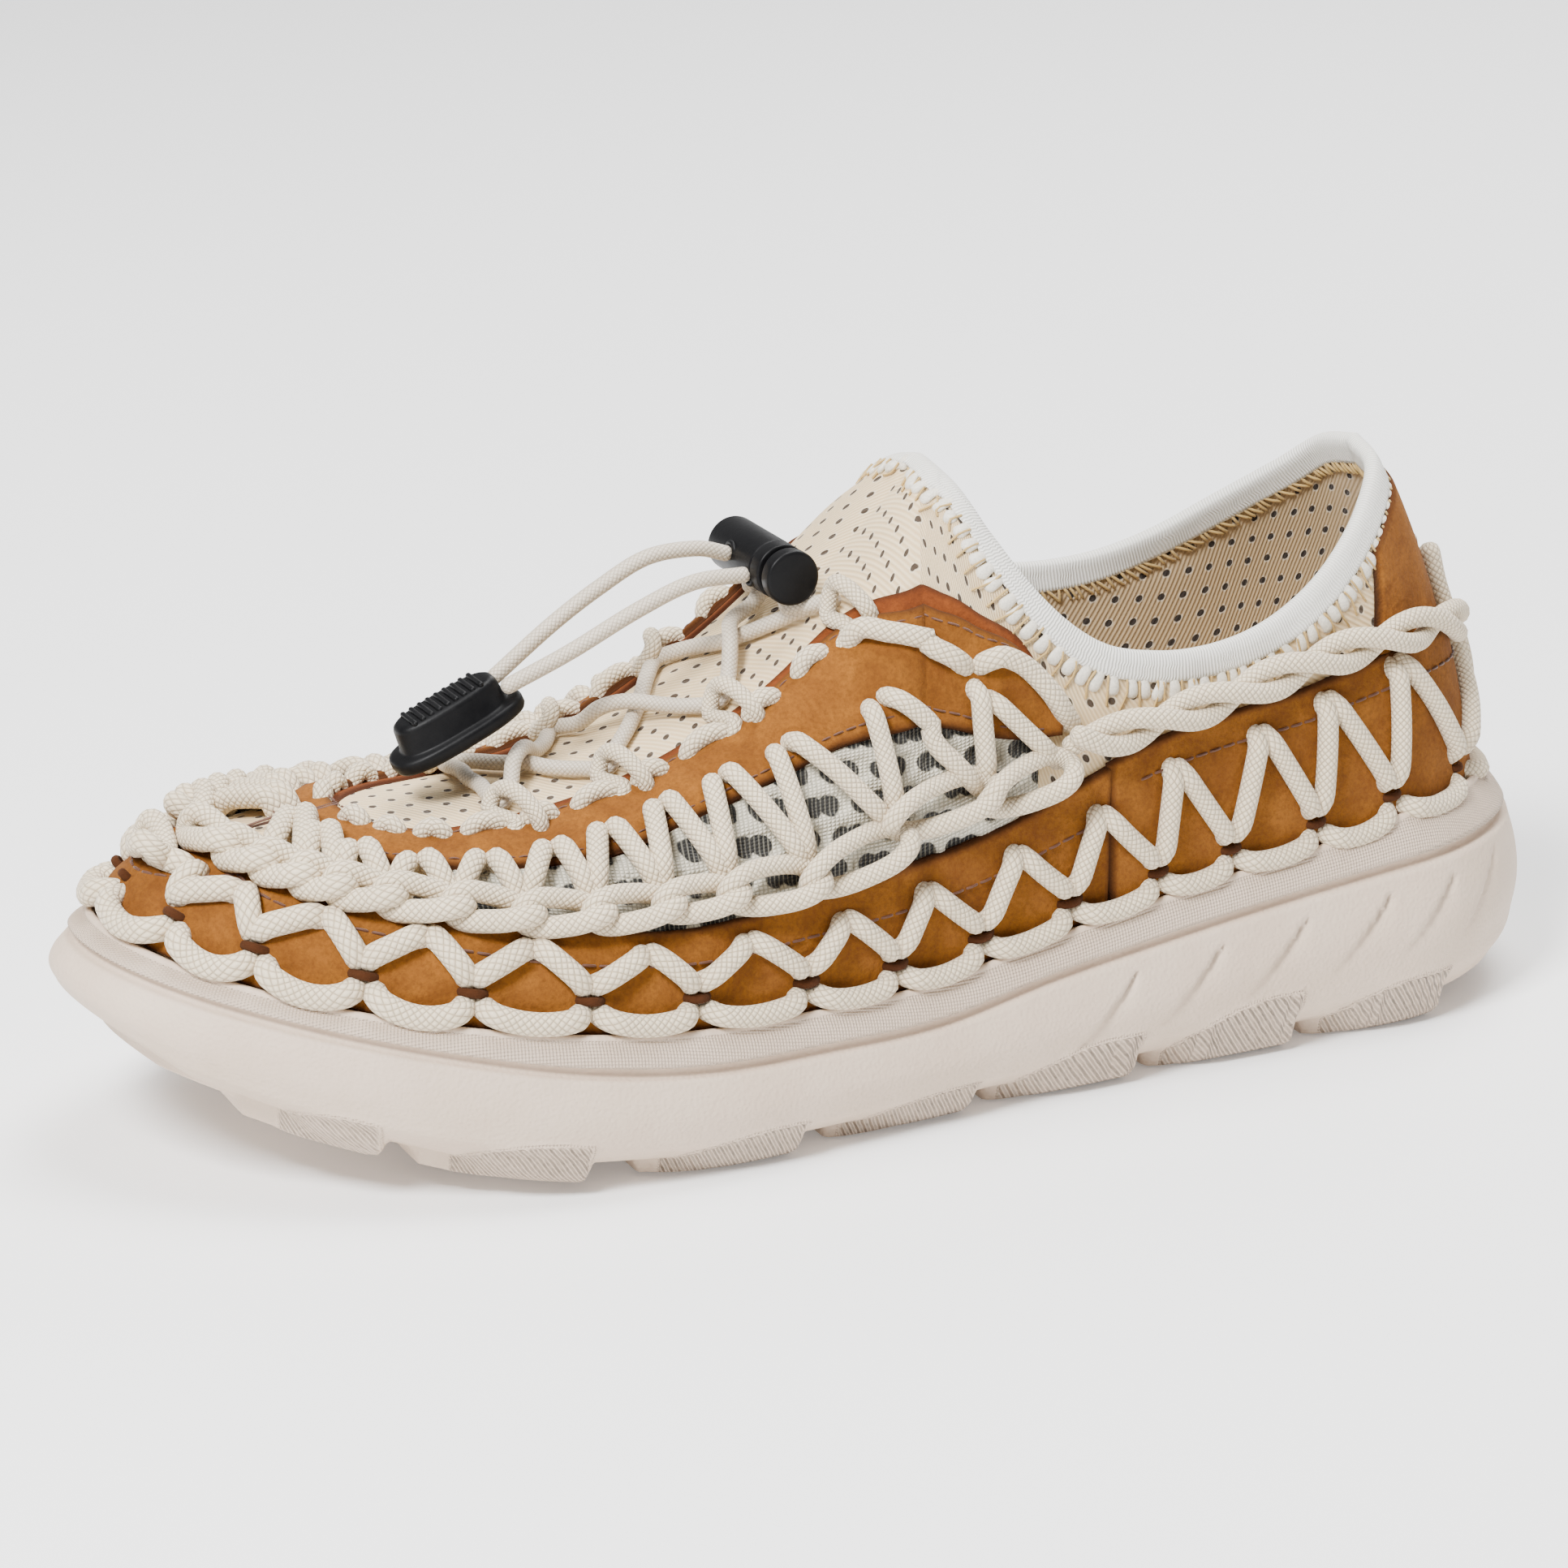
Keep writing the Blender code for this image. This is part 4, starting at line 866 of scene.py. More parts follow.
def knit_look(name, light, dark, hole, pitch=4.7, radius=0.13):
    """Stretch knit with fine slanted ribs and a grid of small punched holes; UV is in millimetres."""
    s = Shader(name, light, 0.85, Sheen_Weight=0.15, Sheen_Roughness=0.5)
    u, v = s.uv()
    slant = s.math("ADD", s.math("MULTIPLY", u, 0.8), s.math("MULTIPLY", v, 0.6))
    rib = s.math("SINE", s.math("MULTIPLY", slant, TURN / 0.95))
    turned = s.add("ShaderNodeCombineXYZ")
    s.join(s.math("ADD", s.math("MULTIPLY", u, 0.92), s.math("MULTIPLY", v, 0.39)), turned.inputs[0])
    s.join(s.math("SUBTRACT", s.math("MULTIPLY", v, 0.92), s.math("MULTIPLY", u, 0.39)), turned.inputs[1])
    dots = s.cells(pitch, turned.outputs[0], random=0.06, dimensions="2D")
    punched = s.span(dots, radius, radius + 0.035, 1.0, 0.0)
    outside = s.span(dots, radius, radius + 0.02)
    ring = s.math("MULTIPLY", outside, s.span(dots, radius + 0.03, radius + 0.11, 1.0, 0.0))
    soft = s.noise(16 * MM, 3.0)
    # Painted shade: the ribs' hollows take the dark colour
    tone = s.mix(s.span(rib, -0.8, 0.8), dark, light)
    tone = s.mix(s.span(soft, 0.35, 0.75, 0.0, 0.25), tone, tuple(0.85 * c for c in dark))
    # Painted highlight: a pale ring round each punched hole
    tone = s.mix(s.math("MULTIPLY", ring, 0.4), tone, (0.95, 0.88, 0.74))
    # Painted shade: the punched holes are painted in the dark hole colour
    s.colour(s.mix(punched, tone, hole))
    s.bump((rib, 0.07 * MM), (s.math("MULTIPLY", punched, -1.0), 0.5 * MM), (s.noise(0.4 * MM), 0.05 * MM))
    return s.material


def air_mesh_look():
    """Spacer mesh: white knit round sunk holes that are painted dark as painted shade; value is the depth of
    a hole, 0 to 1.
    """
    s = Shader("air_mesh", (0.80, 0.80, 0.74), 0.85, Sheen_Weight=0.2)
    u, v = s.uv()
    waves = [s.math("SINE", s.math("MULTIPLY", way, TURN / pitch)) for way, pitch in ((u, 1.7), (v, 1.3))]
    loops = s.math("ABSOLUTE", s.math("MULTIPLY", *waves))
    deep = s.value()
    # Painted shade: the hollows between the loops take the darker colour
    tone = s.mix(s.span(loops, 0.0, 0.6), (0.42, 0.39, 0.30), (0.76, 0.71, 0.58))
    bars = s.math("SINE", s.math("MULTIPLY", u, TURN / 0.9))
    # Painted shade: the sunk holes are painted near black, crossed by paler bars of thread
    dark = s.mix(s.span(bars, 0.2, 0.9), (0.014, 0.013, 0.011), (0.16, 0.15, 0.12))
    s.colour(s.mix(s.span(deep, 0.45, 0.8), tone, dark))
    s.bump((loops, 0.25 * MM), (s.noise(0.4 * MM), 0.08 * MM))
    return s.material


def tape_look():
    """White ribbed elastic tape; UV in millimetres, along the tape first."""
    s = Shader("tape", (0.86, 0.86, 0.82), 0.7, Sheen_Weight=0.2)
    u, _ = s.uv()
    rib = s.math("SINE", s.math("MULTIPLY", u, TURN / 0.62))
    # Painted shade: the ribs' hollows take the darker colour
    tone = s.mix(s.span(rib, -0.9, 0.5), (0.62, 0.60, 0.54), (0.86, 0.84, 0.78))
    soft = s.noise(10 * MM)
    s.colour(s.mix(s.span(soft, 0.4, 0.8, 0.0, 0.15), tone, (0.7, 0.68, 0.6)))
    s.bump((rib, 0.07 * MM), (s.noise(0.3 * MM), 0.04 * MM))
    return s.material


def thread_look(name, colour):
    s = Shader(name, colour, 0.6, Sheen_Weight=0.2)
    grain = s.noise(0.4 * MM)
    s.colour(s.mix(s.span(grain, 0.3, 0.7), tuple(0.7 * c for c in colour), colour))
    s.bump((grain, 0.08 * MM))
    return s.material


def plastic_look():
    s = Shader("moulded_plastic", (0.004, 0.004, 0.004), 0.42, Specular_IOR_Level=0.14)
    grain = s.noise(0.5 * MM, 2.0)
    smear = s.noise(7 * MM, 3.0)
    s.join(s.span(smear, 0.3, 0.75, 0.36, 0.54), s.main.inputs["Roughness"])
    s.colour(s.mix(s.span(smear, 0.35, 0.8), (0.0025, 0.0025, 0.003), (0.006, 0.006, 0.0065)))
    s.bump((grain, 0.03 * MM))
    return s.material


LOOKS = {
    "foam": foam_look(),
    "knit": knit_look("bootie_knit", (0.80, 0.63, 0.38), (0.66, 0.48, 0.26), (0.05, 0.03, 0.015)),
    # The lining is the bootie's knit painted darker: painted shade inside the shoe
    "lining": knit_look("lining_knit_painted_shade", (0.50, 0.36, 0.20), (0.40, 0.28, 0.15), (0.02, 0.012, 0.008)),
    "footbed": knit_look(
        "footbed_knit", (0.55, 0.44, 0.30), (0.46, 0.36, 0.24), (0.3, 0.22, 0.14), 3.0, 0.08
    ),
    "mesh": air_mesh_look(),
    "suede": suede_look("suede_tan", (0.255, 0.092, 0.012), (0.145, 0.047, 0.006), (0.042, 0.012, 0.003)),
    "under": suede_look("suede_under", (0.20, 0.05, 0.009), (0.13, 0.03, 0.006), (0.04, 0.01, 0.003)),
    # The braids' dark colours are painted shade for the valleys between their pillows
    "cord": braid_look("cord_braid", (0.76, 0.64, 0.46), (0.43, 0.33, 0.21), 0.8, 18, 0.052, 0.26 * MM),
    "elastic": braid_look(
        "elastic_braid", (0.62, 0.54, 0.43), (0.38, 0.31, 0.23), 0.42, 18, 0.055, 0.10 * MM
    ),
    "tape": tape_look(),
    "thread": thread_look("thread_cream", (0.84, 0.78, 0.66)),
    "gold": thread_look("thread_gold", (0.55, 0.36, 0.12)),
    "brown": thread_look("thread_brown", (0.10, 0.030, 0.010)),
    "plastic": plastic_look(),
}


def bottom_pads(t, inward, x):
    """How far the tread stands down at a place under the sole, 0 to 1."""
    full = np.zeros(np.broadcast(t, inward).shape)
    soft = 0.004
    for start, end, _ in LUGS:
        along = ease(start, start + soft, t) * (1 - ease(end - soft, end, t))
        full = np.maximum(full, along * (1 - ease(LUG_REACH - 1.2 * MM, LUG_REACH, inward)))
    for start, end, half in RESTS:
        along = ease(start - soft / 2, start + soft / 2, t) * (1 - ease(end - soft / 2, end + soft / 2, t))
        full = np.maximum(full, along * (1 - ease(half - 0.6 * MM, half + 0.6 * MM, np.abs(x))))
    return full


def make_sole():
    """The foam sole: cup, lip, knurled band, groove, pebbled wall with cuts and lug pads, and the tread."""
    count = 960
    fine = np.linspace(0, TURN, 4001)
    run = run_length(rim(fine, 0.0))
    phi = np.interp(np.arange(count) * run[-1] / count, run, fine)
    at = np.interp(phi, fine, run)
    t = share(phi)
    floor, groove, lip = ground(t), level(GROOVE, t), level(LIP, t)
    inset, foot = lip_inset(t), feather_inset(t)
    lean = (inset - LIP_INSET) / 2
    bulge = WALL_BULGE * ease(0.03, 0.16, t)
    wall = groove - floor
    seat = lip - SEAT_DEPTH - 2 * GAP
    cup = -foot - UPPER_WALL
    rows = [
        (cup - 1.4 * MM, lip - CUP_DEPTH),
        (cup - 0.7 * MM, seat),
        (-foot + SHELF, seat),
        (-inset - 1.3 * MM, lip - 0.05 * MM),
    ]
    for a in np.radians([20, 45, 70, 90]):
        rows.append((-inset - 1.0 * MM * (1 - np.sin(a)), lip - 1.0 * MM * (1 - np.cos(a))))
    band_top, band_low = lip - 1.0 * MM, groove + 0.5 * GROOVE_WIDTH
    for u in np.linspace(0, 1, 8)[1:]:
        belly = 0.5 * MM * np.sin(np.pi * u)
        rows.append((-inset + (inset - lean - 0.5 * MM) * u + belly, band_top + (band_low - band_top) * u))
    band_last = len(rows)
    for a in np.linspace(0, np.pi, GROOVE_ROWS + 1)[1:]:
        deep = GROOVE_DEPTH * np.sin(a) ** 0.8
        drop = GROOVE_WIDTH * (1 - np.cos(a)) / 2
        rows.append((-lean - 0.5 * MM + 0.7 * MM * (a / np.pi) - deep, band_low - drop))
    wall_top = groove - 0.5 * GROOVE_WIDTH
    foot_out, foot_height = bulge - FOOT_BEVEL, floor + 0.13 * wall + TREAD_DEPTH
    keys = np.array([0, 0.25, 0.5, 0.72, 0.9, 1.0])
    outs = [-lean + 0.2 * MM, 0.75 * bulge - 0.25 * lean, bulge, bulge - 0.8 * MM, bulge - 1.9 * MM, foot_out]
    outs = np.stack(np.broadcast_arrays(*outs))
    slope = np.gradient(outs, keys, axis=0)
    for u in np.linspace(0, 1, 26)[1:]:
        i = min(int(np.searchsorted(keys, u, side="right")) - 1, len(keys) - 2)
        span = keys[i + 1] - keys[i]
        w = (u - keys[i]) / span
        out = outs[i] + (outs[i + 1] - outs[i]) * (3 - 2 * w) * w**2
        out = out + ((1 - w) ** 2 * w * slope[i] - (1 - w) * w**2 * slope[i + 1]) * span
        rows.append((out, wall_top + (foot_height - wall_top) * u))
    for u in np.linspace(0, 1, 7)[1:]:
        drop = (floor + TREAD_DEPTH - foot_height) * u**0.6
        rows.append((foot_out + (bulge - TREAD_INSET - foot_out) * u, foot_height + drop))
    out = np.stack([np.broadcast_to(r[0], t.shape) for r in rows])
    height = np.stack([np.broadcast_to(r[1], t.shape) for r in rows])
    kind = np.zeros(out.shape)
    kind[7:band_last] = 1
    # Rows in the groove are marked -1, which the foam's look paints dark as painted shade
    kind[band_last : band_last + 5] = -1
    lateral_run = np.where(phi <= np.pi, at, run[-1] - at)
    for apex in SLASHES:
        high = level(GROOVE, apex) - 3.5 * MM
        ahead = lateral_run - np.interp(angle(apex), fine, run)
        down = high - height
        ratio = ahead / np.maximum(down, 0.2 * MM)
        inside = (down > 0) & (down < SLASH_HEIGHT)
        facet = np.clip(ratio, 0, 1) ** 1.6 * (1 - ease(0.97, 1.04, ratio)) * (ratio > -0.05)
        fade = (1 - np.clip(down / SLASH_HEIGHT, 0, 1)) ** 0.8 * ease(0, 1.2 * MM, down)
        out = out - inside * SLASH_DEPTH * facet * fade
    over = height - floor
    for start, end, tall in LUGS:
        front = np.clip((end - t) / (end - start), 0, 1)
        top = tall * LUG_HEIGHT * np.sin(np.pi / 2 * np.clip(front * 1.25, 0, 1)) ** 0.8 + 1.5 * MM
        along = ease(0, 0.05, front) * ease(start, start + 0.008, t + 0.25 * over)
        on_wall = (np.arange(len(out)) > band_last + GROOVE_ROWS)[:, None]
        mask = along * (1 - ease(top - 0.8 * MM, top + 0.4 * MM, over)) * on_wall
        fullness = ease(0.0, 0.8, 1 - over / np.maximum(top, 1 * MM))
        out = out + mask * (0.5 * MM + 1.9 * MM * fullness)
        height = height - mask * (over < TREAD_DEPTH + 2.5 * MM) * (TREAD_DEPTH * ease(0.2, 1.0, fullness))
        kind = np.maximum(kind, 2 * mask * (front > 0.12))
    side = np.stack([np.concatenate([rim(phi, o), h[:, None]], axis=1) for o, h in zip(out, height)])
    ring = side[-1]
    mirrored = -np.arange(count) % count
    middle = (ring + ring[mirrored]) / 2
    bottom = []
    inward_steps = np.linspace(0, 1, 26)[1:]
    width = np.linalg.norm(ring[:, :2] - middle[:, :2], axis=1)
    for u in inward_steps:
        row = ring + (middle - ring) * u
        share_here = (row[:, 1] + HEEL_BACK) / SOLE_LENGTH
        pads = bottom_pads(share_here, TREAD_INSET + width * u, row[:, 0])
        row[:, 2] = ground(share_here) + TREAD_DEPTH * (1 - pads)
        bottom.append(row)
    side[-1][:, 2] = np.minimum(side[-1][:, 2], bottom[0][:, 2] + 0.4 * MM)
    points = np.concatenate([side, np.stack(bottom)])
    kind = np.concatenate([kind, np.zeros((len(bottom), count))])
    inner = []
    cup_ring = points[0]
    cup_middle = (cup_ring + cup_ring[mirrored]) / 2
    for u in (1.0, 0.66, 0.33):
        inner.append(cup_ring + (cup_middle - cup_ring) * u)
    points = np.concatenate([np.stack(inner), points])
    kind = np.concatenate([np.zeros((len(inner), count)), kind])
    down = np.cumsum(np.linalg.norm(np.diff(points, axis=0, prepend=points[:1]), axis=-1), axis=0)
    u = np.append(at, run[-1])[None, :] / MM
    v = np.concatenate([down, down[:, :1]], axis=1) / MM
    uv = np.stack(np.broadcast_arrays(u, v), -1)
    build = Build()
    build.grid(points, uv, kind, wrap_columns=True)
    build.done("sole_foam", [LOOKS["foam"]], slot="foam", replaces=["sole"], weld=FOAM_WELD)


def make_insole():
    """The flat footbed in the sole's cup."""
    phi = np.linspace(0, TURN, 240, endpoint=False)
    t = share(phi)
    edge = -feather_inset(t) - UPPER_WALL - 1.4 * MM - 2.5 * GAP
    top = level(LIP, t) - CUP_DEPTH + GAP + INSOLE
    ring = np.concatenate([rim(phi, edge), (top - INSOLE + GAP)[:, None]], axis=1)
    rows = [ring]
    for a in np.radians([0, 30, 60, 90]):
        place = rim(phi, edge - 1.2 * MM * (1 - np.cos(a)))
        rows.append(np.concatenate([place, (top - 1.2 * MM * (1 - np.sin(a)))[:, None]], axis=1))
    last = rows[-1]
    mirrored = -np.arange(len(phi)) % len(phi)
    middle = (last + last[mirrored]) / 2
    for u in (0.3, 0.6, 0.85, 1.0):
        rows.append(last + (middle - last) * u)
    under = (ring + ring[mirrored]) / 2
    rows = [under, ring + (under - ring) * 0.5] + rows
    points = np.stack(rows)
    uv = np.concatenate([points, points[:, :1]], axis=1)[..., :2] / MM
    build = Build()
    build.grid(points, uv, wrap_columns=True)
    build.done("insole_bed", [LOOKS["footbed"]], slot="lining", replaces=["insole"], weld=FOAM_WELD)


def make_bootie():
    """The knit bootie: outer face, inner face, and the small rims between them."""
    fine = np.linspace(0, np.pi, 2001)
    weight = run_length(np.concatenate([rim(fine, 0.0), top_edge(fine)], axis=1))
    half = np.interp(np.linspace(0, weight[-1], 231), weight, fine)
    phi = np.concatenate([half, TURN - half[-2:0:-1]])
    h = np.linspace(0, 1, 64)
    outer = lifted(phi[:, None], h[None, :], 0)
    inner = lifted(phi[:, None], h[None, :], -UPPER_WALL)
    ridge = share(phi) > TONGUE - 1e-6
    mirrored = -np.arange(len(phi)) % len(phi)
    for grid in (outer, inner):
        grid[ridge, -1] = ((grid[:, -1] + grid[mirrored, -1]) / 2)[ridge]
    top = run_length(top_edge(half))
    u = np.interp(np.minimum(phi, TURN - phi), half, top)
    down = np.linalg.norm(np.diff(outer, axis=1), axis=-1)
    v = np.concatenate([np.cumsum(down[:, ::-1], axis=1)[:, ::-1], np.zeros((len(phi), 1))], axis=1)
    v = np.where((phi > np.pi)[:, None], -v, v)
    uv = np.stack(np.broadcast_arrays(u[:, None], v), -1) / MM
    uv = np.concatenate([uv, uv[:1]])
    build = Build()
    build.grid(outer, uv, wrap_rows=True, look=0)
    # The inner face takes the darker lining knit, painted shade inside the shoe
    build.grid(inner, uv, wrap_rows=True, look=1, flip=True)
    for row in (0, -1):
        strip = np.stack([outer[:, row], inner[:, row]], axis=1)
        build.grid(strip, uv[:, :2], wrap_rows=True, look=0, flip=row == -1)
    build.done("bootie", [LOOKS["knit"], LOOKS["lining"]], slot="bootie", replaces=["upper"], weld=SHEET_WELD)


EDGE_ROWS = np.array([0.0, 0.10, 0.3, 0.6, 1.0, 1.5]) * MM


def patch(name, route, runs, thickness, base, look, slot, replaces=(), spacing=CORD_STEP, shape=None):
    """A layer of material with rounded edges. route(run, part) gives angle and share h; part is 0 at the
    lower edge and 1 at the upper one. shape(phi, h, places, distance to the edge) adds to its height."""
    runs = np.asarray(runs, float)
    low = upper(*route(runs, np.zeros_like(runs)))
    mid = upper(*route(runs, np.full_like(runs, 0.5)))
    high = upper(*route(runs, np.ones_like(runs)))
    width = np.linalg.norm(mid - low, axis=-1) + np.linalg.norm(high - mid, axis=-1)
    edges = np.minimum(EDGE_ROWS[None, :] / width[:, None], 0.5 * EDGE_ROWS / EDGE_ROWS[-1])
    inner_count = max(int(round(width.max() / spacing)), 3)
    between = np.linspace(0, 1, inner_count + 1)[None, 1:-1]
    middle = edges[:, -1:] + (1 - 2 * edges[:, -1:]) * between
    part = np.concatenate([edges, middle, 1 - edges[:, ::-1]], axis=1)
    phi, h = route(runs[:, None], part)
    flat = upper(phi, h)
    across = np.minimum(part, 1 - part) * width[:, None]
    along = run_length(flat[:, flat.shape[1] // 2])
    edge = np.minimum(across, np.minimum(along, along[-1] - along)[:, None])
    lift = base + thickness * np.sqrt(np.maximum(1 - (1 - np.clip(edge / (0.9 * MM), 0, 1)) ** 2, 0))
    if shape is not None:
        lift = lift + shape(phi, h, flat, edge)
    outer = lifted(phi, h, lift)
    inner = lifted(phi, h, base - 0.1 * MM)
    uv = np.stack(np.broadcast_arrays(along[:, None], part * width[:, None]), -1) / MM
    build = Build()
    build.grid(outer, uv, edge / MM)
    build.grid(inner, uv, flip=True)
    for row in (0, -1):
        strip = np.stack([outer[:, row], inner[:, row]], axis=1)
        build.grid(strip, uv[:, :2], flip=row == -1)
    for column in (0, -1):
        strip = np.stack([outer[column], inner[column]], axis=1)
        build.grid(strip, np.zeros((len(strip), 2, 2)), flip=column == 0)
    return build.done(name, [LOOKS[look]], slot=slot, replaces=replaces, weld=SHEET_WELD)


def pulls(holes, depth=0.7 * MM, radius=2.6 * MM):
    """Dents where the cord pulls the suede in at its holes."""
    places = [upper(*hole) for hole in holes]

    def shape(phi, h, flat, edge):
        dents = (depth * np.exp(-((flat - place) ** 2).sum(axis=-1) / radius**2) for place in places)
        return -np.minimum(sum(dents), 1.1 * depth)

    return shape


def foxing_holes():
    """The zigzag's holes in order from the heel by the lateral side to the toe and back, lower and upper by
    turns: (share of the rim, height above the lip, side)."""
    lateral = [hole for pair in zip(LOWER_HOLES, UPPER_HOLES) for hole in pair][::-1]
    around = [(LATERAL, hole) for hole in lateral] + [(MEDIAL, hole) for hole in lateral[-2:0:-1]]
    return [(t, above * MM, side) for side, (t, above) in around]


def on_upper(hole):
    t, above, side = hole
    return float(angle(t, side)), float(height_share(t, above))


def foxing_top(t):
    return height_share(t, table(FOXING, 1, t) * FOXING_HEIGHT)


def foxing_share(t, part):
    """The share h at a part of the foxing's height, from its tucked edge (0) to its top (1)."""
    low = height_share(t, -FOXING_TUCK)
    return low + (foxing_top(t) - low) * part


# Where the foxing's upper strip starts, as a part of its height
FOXING_SEAM = 0.62


def seam_step(phi, h):
    """The upper strip of the foxing lies on the lower one."""
    low, high = (foxing_share(share(phi), part) for part in (0, 1))
    part = (h - low) / (high - low)
    return 0.35 * MM * ease(FOXING_SEAM - 0.012, FOXING_SEAM + 0.012, part)


def make_foxing():
    """The suede band round the toe, the rear quarter and the strip up the heel."""
    dents = pulls([on_upper(hole) for hole in foxing_holes()])

    def shape(phi, h, flat, edge):
        return dents(phi, h, flat, edge) + seam_step(phi, h)

    def band(run, part):
        return np.broadcast_arrays(run, foxing_share(share(run), part))

    runs = np.linspace(angle(QUARTER_FRONT + 0.001), angle(QUARTER_FRONT + 0.001, MEDIAL), 560)
    patch("foxing_suede", band, runs, SUEDE, FOXING_BASE, "suede", "suede", ["foxing"], shape=shape)

    def quarter(run, part):
        # The quarter's front edge leans
        lean = 0.03 * (part - 0.5) * np.sin(run / 2) ** 2 * np.sign(run)
        return np.broadcast_arrays(run + lean, foxing_share(share(run), part) + 0.008 * part)

    back = angle(QUARTER_FRONT + 0.004)
    runs = np.linspace(-back, back, 380)
    name = "rear_quarter_suede"
    patch(name, quarter, runs, SUEDE, QUARTER_BASE, "suede", "suede", ["rear_quarter"], shape=dents)

    def tab(run, part):
        low = foxing_top(share(run)) - 0.05
        high = raised(run, 1.0, -BINDING_WIDTH * 0.55)
        narrow = 1 - 0.2 * part
        return np.broadcast_arrays(run * narrow, low + (high - low) * part)

    runs = np.linspace(-0.76, 0.76, 80)
    patch("heel_tab_suede", tab, runs, 1.1 * MM, HEEL_TAB_BASE, "suede", "suede", ["heel_tab"])


def eyestay_route(run, part):
    """Angles and shares h along the eyestay, lateral wing (0) to medial (2)."""
    run, part = np.broadcast_arrays(np.asarray(run, float), np.asarray(part, float))
    along = np.minimum(run, 2 - run)
    t = table(EYESTAY, 1, along) * (1 - part) + table(EYESTAY, 3, along) * part
    h = table(EYESTAY, 2, along) * (1 - part) + table(EYESTAY, 4, along) * part
    return np.where(run <= 1, angle(t), angle(t, MEDIAL)), np.minimum(h, 0.9995)


def eyestay_runs(count, start=0.0):
    fine = np.linspace(start, 1, 1201)
    run = run_length(upper(*eyestay_route(fine, np.full_like(fine, 0.5))))
    half = np.interp(np.linspace(0, run[-1], count), run, fine)
    return np.concatenate([half, 2 - half[-2::-1]])


def make_eyestay():
    """The suede U round the throat, and the thin layer that shows beyond its throat edge."""
    holes = [point_at(t, side, h) for t, h, _ in VAMP_HOLES for side in (LATERAL, MEDIAL)]
    dents = pulls(holes, 0.5 * MM, 3.2 * MM)

    def shape(phi, h, flat, edge):
        wave = 0.35 * MM * np.sin(share(phi) * 95 + 6 * h) * ease(1 * MM, 4 * MM, edge)
        return dents(phi, h, flat, edge) + wave

    runs = eyestay_runs(190)
    name = "eyestay_suede"
    patch(name, eyestay_route, runs, SUEDE, EYESTAY_BASE, "suede", "suede", ["eyestay"], shape=shape)

    def under(run, part):
        phi, h = eyestay_route(run, part)
        along = np.minimum(run, 2 - run)
        spread = 0.04 * ease(0.0, 0.08, along) * ease(1.0, 0.93, along)
        return phi, np.minimum(h + part * spread, 0.9996)

    patch("eyestay_underlay", under, eyestay_runs(190, 0.004), 0.7 * MM, 0.05 * MM, "under", "suede")


def pits(t, height):
    """How deep the air mesh is sunk at a share of the length and a height: pairs of lobes in staggered
    rows, 0 to 1."""
    pitch, row_pitch, apart, long, wide = 9.2, 5.4, 1.6, 2.2, 1.9
    u, v = t * SOLE_LENGTH / MM, height / MM
    row = np.floor(v / row_pitch)
    a = (u + pitch / 2 * (row % 2)) % pitch - pitch / 2
    b = v % row_pitch - row_pitch / 2
    lobes = [np.exp(-(((a + way * apart) / long) ** 2) - (b / wide) ** 2) for way in (-1, 1)]
    return ease(0.22, 0.55, np.maximum(*lobes))


def make_windows():
    """Air mesh between foxing and eyestay; its dark holes are pressed in."""
    for side, name in ((LATERAL, "lateral"), (MEDIAL, "medial")):

        def route(run, part, side=side):
            t = np.broadcast_to(np.asarray(run, float), np.broadcast(run, part).shape)
            low = foxing_top(t) - 0.03
            high = table([row[1:3] for row in EYESTAY], 1, t) + 0.02
            return angle(t, side), low + (high - low) * part

        def pressed(phi, h, flat, edge):
            return -0.75 * MM * pits(share(phi), flat[..., 2])

        obj = patch(
            f"window_{name}_mesh",
            route,
            np.linspace(0.415, 0.80, 260),
            0.8 * MM,
            0.1 * MM,
            "mesh",
            "mesh",
            [f"window_{name}"],
            spacing=0.55 * MM,
            shape=pressed,
        )
        # The holes' depth goes into value, where the mesh's look paints them dark: painted shade
        places = np.empty(len(obj.data.vertices) * 3, np.float32)
        obj.data.vertices.foreach_get("co", places)
        places = places.reshape(-1, 3)
        depth = pits((places[:, 1] + HEEL_BACK) / SOLE_LENGTH, places[:, 2])
        obj.data.attributes["value"].data.foreach_set("value", depth.astype(np.float32))


